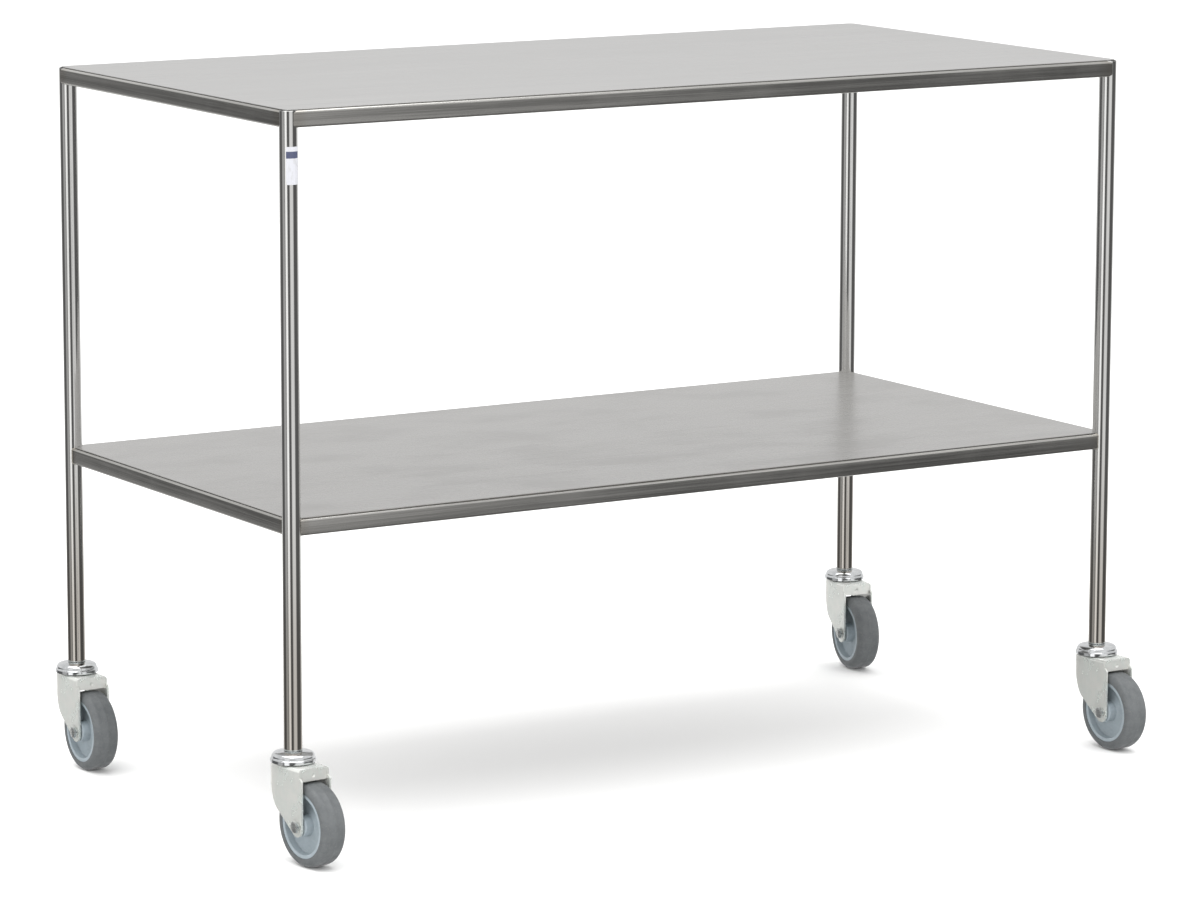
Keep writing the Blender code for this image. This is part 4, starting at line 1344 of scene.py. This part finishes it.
def hexagon(seat, height):
    """A hexagon from seat to seat + height, chamfered outside and washer faced at its seat."""
    top = seat + height
    flat = HEX_RADIUS * math.cos(math.pi / HEX_SIDES)
    body = prism(circle(HEX_RADIUS, HEX_SIDES), seat + WASHER_FACE, top)
    reach = HEX_RADIUS + OVERLAP
    trim_side = top - (reach - flat * CROWN_SHARE) * math.tan(HEX_CHAMFER)
    trim_profile = [(0, seat - CUT_PAST), (reach, seat - CUT_PAST), (reach, trim_side)]
    trim_profile += [(flat * CROWN_SHARE, top), (0, top)]
    trim = turned(trim_profile, TURN_SEGMENTS, closed=False)
    body = combine(body, trim, "INTERSECT")
    face = prism(circle(flat * WASHER_SHARE, TURN_SEGMENTS), seat, seat + WASHER_FACE + OVERLAP)
    return combine(body, face, "UNION")


seat = fork_half + SEAT_GAP
bolt_end = seat + NUT_HEIGHT + SEAT_GAP
tip_break = EDGE_BREAK * 2
shank_profile = [(0, -bolt_end), (AXLE_RADIUS - tip_break, -bolt_end), (AXLE_RADIUS, -bolt_end + tip_break)]
shank_profile += [(AXLE_RADIUS, seat + OVERLAP), (0, seat + OVERLAP)]
shank = turned(shank_profile, HOLE_SEGMENTS, closed=False)
bolt = combine(hexagon(seat, BOLT_HEAD_HEIGHT), shank, "UNION")
nut_bore = prism(circle(AXLE_RADIUS + HOLE_FIT, HOLE_SEGMENTS), 0, seat + NUT_HEIGHT + CUT_PAST)
nut = combine(hexagon(seat, NUT_HEIGHT), nut_bore, "DIFFERENCE")
turn_shape(nut, math.pi, "X")
sleeve_half = fork_inner_half - SEAT_GAP
sleeve_bore = AXLE_RADIUS + SLEEVE_FIT
sleeve_round = circle(sleeve_bore + SLEEVE_WALL, HOLE_SEGMENTS)
sleeve = walled(sleeve_round, circle(sleeve_bore, HOLE_SEGMENTS), -sleeve_half, sleeve_half)
axle_masters = {
    "axle_bolt": as_master(bolt, "axle_bolt"),
    "axle_nut": as_master(nut, "axle_nut"),
    "axle_sleeve": as_master(sleeve, "axle_sleeve"),
}
for corner, axle_place in axle_places.items():
    for part, master in axle_masters.items():
        make_piece(
            f"{part}_made_{corner}",
            master,
            bright_steel,
            "caster_" + corner,
            [f"{part}_{corner}"],
            axle_place,
        )

# ------------------------------------------------------------------------------------------------
# Wheels.  A grey nylon centre is moulded with a hub, a thin dished disc and a rim with a lip on
# each side; a grey rubber tyre with round shoulders is moulded onto it and leaves no black marks.
WHEEL_SEGMENTS = 128
TYRE_DEPTH = 0.0108
TYRE_SHOULDER = 0.0075
TYRE_CROWN = 0.0003
TYRE_SEAM = 0.00012
TYRE_SEAM_HALF = 0.0004
SHOULDER_STEPS = 12
TYRE_GAP = 0.00005
RIM_SET_IN = 0.0008
RIM_LIP = 0.0045
RIM_ROUND = 0.0009
DISC_HALF = 0.006
DISC_SLOPE = 0.003
DISH_DEPTH = 0.0016
HUB_RADIUS = 0.0125
HUB_STAND_OUT = 0.0012
HUB_ROUND = 0.0008
SMALL_ARC_STEPS = 4
SHOULDER_START = math.radians(4)

tyre_seat = axle_height - TYRE_DEPTH
half = WHEEL_WIDTH / 2
shoulder_centre = (axle_height - TYRE_CROWN - TYRE_SHOULDER, half - TYRE_SHOULDER)
one_side = [(axle_height - TYRE_SEAM, TYRE_SEAM_HALF)]
one_side += arc(shoulder_centre, TYRE_SHOULDER, SHOULDER_START, math.pi / 2, SHOULDER_STEPS)
one_side.append((tyre_seat, half - EDGE_BREAK))
tyre_profile = [(axle_height, 0.0)] + one_side + [(r, -z) for r, z in reversed(one_side)]
tyre_master = as_master(turned(tyre_profile, WHEEL_SEGMENTS), "tyre")

rim_outer = tyre_seat - TYRE_GAP
rim_half = half - RIM_SET_IN
lip_inner = rim_outer - RIM_LIP
hub_half = half + HUB_STAND_OUT
hub_bore = sleeve_bore + SLEEVE_WALL + SLEEVE_FIT
one_side = [(rim_outer, rim_half - EDGE_BREAK), (rim_outer - EDGE_BREAK, rim_half)]
lip_centre = (lip_inner + RIM_ROUND, rim_half - RIM_ROUND)
one_side += arc(lip_centre, RIM_ROUND, math.pi / 2, math.pi, SMALL_ARC_STEPS)
one_side += [(lip_inner - DISC_SLOPE / 4, DISC_HALF + RIM_ROUND), (lip_inner - DISC_SLOPE, DISC_HALF)]
one_side += [((lip_inner + HUB_RADIUS) / 2, DISC_HALF - DISH_DEPTH), (HUB_RADIUS + DISC_SLOPE, DISC_HALF)]
one_side += [(HUB_RADIUS + DISC_SLOPE / 4, DISC_HALF + RIM_ROUND)]
one_side += arc((HUB_RADIUS - HUB_ROUND, hub_half - HUB_ROUND), HUB_ROUND, 0, math.pi / 2, SMALL_ARC_STEPS)
one_side.append((hub_bore, hub_half))
core_profile = one_side + [(r, -z) for r, z in reversed(one_side)]
core_master = as_master(turned(core_profile, WHEEL_SEGMENTS), "wheel_core")


DUST_BAND = (0.52, 0.75)
DUST_DEPTH = 0.45
MOULD_SPREAD = (0.88, 1.15)


def moulded_finish(name, tint, shade, dust, roughness, grain, bump_distance):
    """Moulded plastic or rubber with a fine grain, mottled tone and a little dust."""
    material, tree, shader = new_material(name, 0.0)
    place = made_place(tree)
    mottle = cloud(tree, place, (95.0, 95.0, 95.0), 5.0, 0.62)
    fine = cloud(tree, place, (grain, grain, grain), 3.0, 0.55)
    dusted = cloud(tree, place, (420.0, 420.0, 420.0), 4.0, 0.65)
    colour = mixed(tree, ranged(tree, mottle, *CLOUD_BAND, 0.0, 1.0), tint, shade)
    colour = mixed(tree, ranged(tree, dusted, *DUST_BAND, 0.0, DUST_DEPTH), colour, dust)
    tree.links.new(colour, shader.inputs["Base Color"])
    smooth, coarse = (roughness * share for share in MOULD_SPREAD)
    tree.links.new(ranged(tree, mottle, *GRAIN_BAND, smooth, coarse), shader.inputs["Roughness"])
    add_bump(tree, shader, fine, GRAIN_STRENGTH, bump_distance)
    return material


tyre_material = moulded_finish(
    "grey_tyre_rubber",
    tint=(0.118, 0.126, 0.130),
    shade=(0.100, 0.108, 0.112),
    dust=(0.19, 0.19, 0.185),
    roughness=0.48,
    grain=1300.0,
    bump_distance=0.00006,
)
core_material = moulded_finish(
    "grey_wheel_nylon",
    tint=(0.295, 0.34, 0.37),
    shade=(0.26, 0.305, 0.33),
    dust=(0.38, 0.40, 0.41),
    roughness=0.36,
    grain=1800.0,
    bump_distance=0.00003,
)
for corner, axle_place in axle_places.items():
    for part, master, material, slot in (
        ("wheel_core", core_master, core_material, "wheel_nylon"),
        ("tyre", tyre_master, tyre_material, "tyre_rubber"),
    ):
        make_piece(
            f"{part}_moulding_{corner}",
            master,
            material,
            "wheel_" + corner,
            [f"{part}_{corner}"],
            axle_place,
        )

# ------------------------------------------------------------------------------------------------
# Studio.  A pale floor, one broad soft light overhead and a dim room with four soft upright panels:
# a wall behind the table, a softbox on either side in front of it and a weaker reflector on the left.
FLOOR_SIZE = 80.0
FLOOR_DROP = 0.0004
FLOOR_COLOUR = (0.93, 0.93, 0.925)
FLOOR_ROUGHNESS = 0.9
floor_shape = bmesh.new()
bmesh.ops.create_grid(floor_shape, x_segments=1, y_segments=1, size=FLOOR_SIZE / 2)
shift_shape(floor_shape, (0, 0, -FLOOR_DROP))
floor_mesh = bpy.data.meshes.new("floor")
floor_shape.to_mesh(floor_mesh)
floor_shape.free()
floor_material, tree, shader = new_material("pale_floor", 0.0)
shader.inputs["Base Color"].default_value = (*FLOOR_COLOUR, 1.0)
shader.inputs["Roughness"].default_value = FLOOR_ROUGHNESS
shader.inputs["Specular IOR Level"].default_value = 0.0
floor_mesh.materials.append(floor_material)
floor = bpy.data.objects.new("floor", floor_mesh)
bpy.context.scene.collection.objects.link(floor)
floor.visible_glossy = False

LIGHT_PLACE = (-0.8, -0.8, 4.5)
LIGHT_SIZE = 5.0
LIGHT_POWER = 160.0
light_data = bpy.data.lights.new("softbox", "AREA")
light_data.shape = "SQUARE"
light_data.size = LIGHT_SIZE
light_data.energy = LIGHT_POWER
light = bpy.data.objects.new("softbox", light_data)
light.location = LIGHT_PLACE
bpy.context.scene.collection.objects.link(light)

ROOM_TONE = 0.12
UPPER_TONE = 0.77
FLOOR_LIGHT = 1.6
BLEND_LOW = 0.02
BLEND_HIGH = 0.16
# Each panel: direction from +X, half its width and the width of its soft edge in degrees; brightness
PANELS = {
    "wall": (55, 55, 25, 0.80),
    "left softbox": (210, 12, 12, 1.20),
    "right softbox": (275, 20, 20, 0.90),
    "reflector": (175, 15, 15, 0.45),
}
world = bpy.data.worlds.new("studio")
world.use_nodes = True
bpy.context.scene.world = world
tree = world.node_tree
backdrop = tree.nodes["Background"]
toward = tree.nodes.new("ShaderNodeTexCoord").outputs["Generated"]
split = tree.nodes.new("ShaderNodeSeparateXYZ")
tree.links.new(toward, split.inputs[0])
level_way = tree.nodes.new("ShaderNodeVectorMath")
level_way.operation = "NORMALIZE"
tree.links.new(vector_node(tree, "MULTIPLY", toward, (1.0, 1.0, 0.0)), level_way.inputs[0])
room_tone = ROOM_TONE
for direction, half_width, soft_edge, brightness in PANELS.values():
    panel_way = Vector((math.cos(math.radians(direction)), math.sin(math.radians(direction)), 0.0))
    facing = tree.nodes.new("ShaderNodeVectorMath")
    facing.operation = "DOT_PRODUCT"
    tree.links.new(level_way.outputs["Vector"], facing.inputs[0])
    facing.inputs[1].default_value = panel_way
    fade_out = math.cos(math.radians(half_width + soft_edge / 2))
    fade_in = math.cos(math.radians(half_width - soft_edge / 2))
    panel = ranged(tree, facing.outputs["Value"], fade_out, fade_in, 0.0, brightness)
    room_tone = math_node(tree, "MAXIMUM", room_tone, panel)
upper = ranged(tree, split.outputs["Z"], BLEND_LOW, BLEND_HIGH, 0.0, 1.0)
room = mixed(tree, upper, room_tone, (UPPER_TONE, UPPER_TONE, UPPER_TONE))
ray = tree.nodes.new("ShaderNodeLightPath")
lit = mixed(tree, ray.outputs["Is Diffuse Ray"], room, (FLOOR_LIGHT, FLOOR_LIGHT, FLOOR_LIGHT))
tree.links.new(mixed(tree, ray.outputs["Is Camera Ray"], lit, (1.0, 1.0, 1.0)), backdrop.inputs["Color"])

CAMERA_FROM_CENTRE = Vector((-3.3918, -5.5163, 1.5176))
CAMERA_YAW = math.radians(31.676)
CAMERA_PITCH = math.radians(9.841)
CAMERA_ROLL = math.radians(0.144)
CAMERA_LENS = 155.0
CAMERA_REACH = 200.0
camera_data = bpy.data.cameras.new("camera")
camera_data.lens = CAMERA_LENS
camera_data.clip_end = CAMERA_REACH
camera = bpy.data.objects.new("camera", camera_data)
aimed = Matrix.Rotation(-CAMERA_YAW, 4, "Z") @ Matrix.Rotation(math.pi / 2 - CAMERA_PITCH, 4, "X")
rolled = aimed @ Matrix.Rotation(CAMERA_ROLL, 4, "Z")
camera.matrix_world = Matrix.Translation(CAMERA_FROM_CENTRE + table_centre) @ rolled
bpy.context.scene.collection.objects.link(camera)
bpy.context.scene.camera = camera
bpy.context.scene.view_settings.view_transform = "Standard"
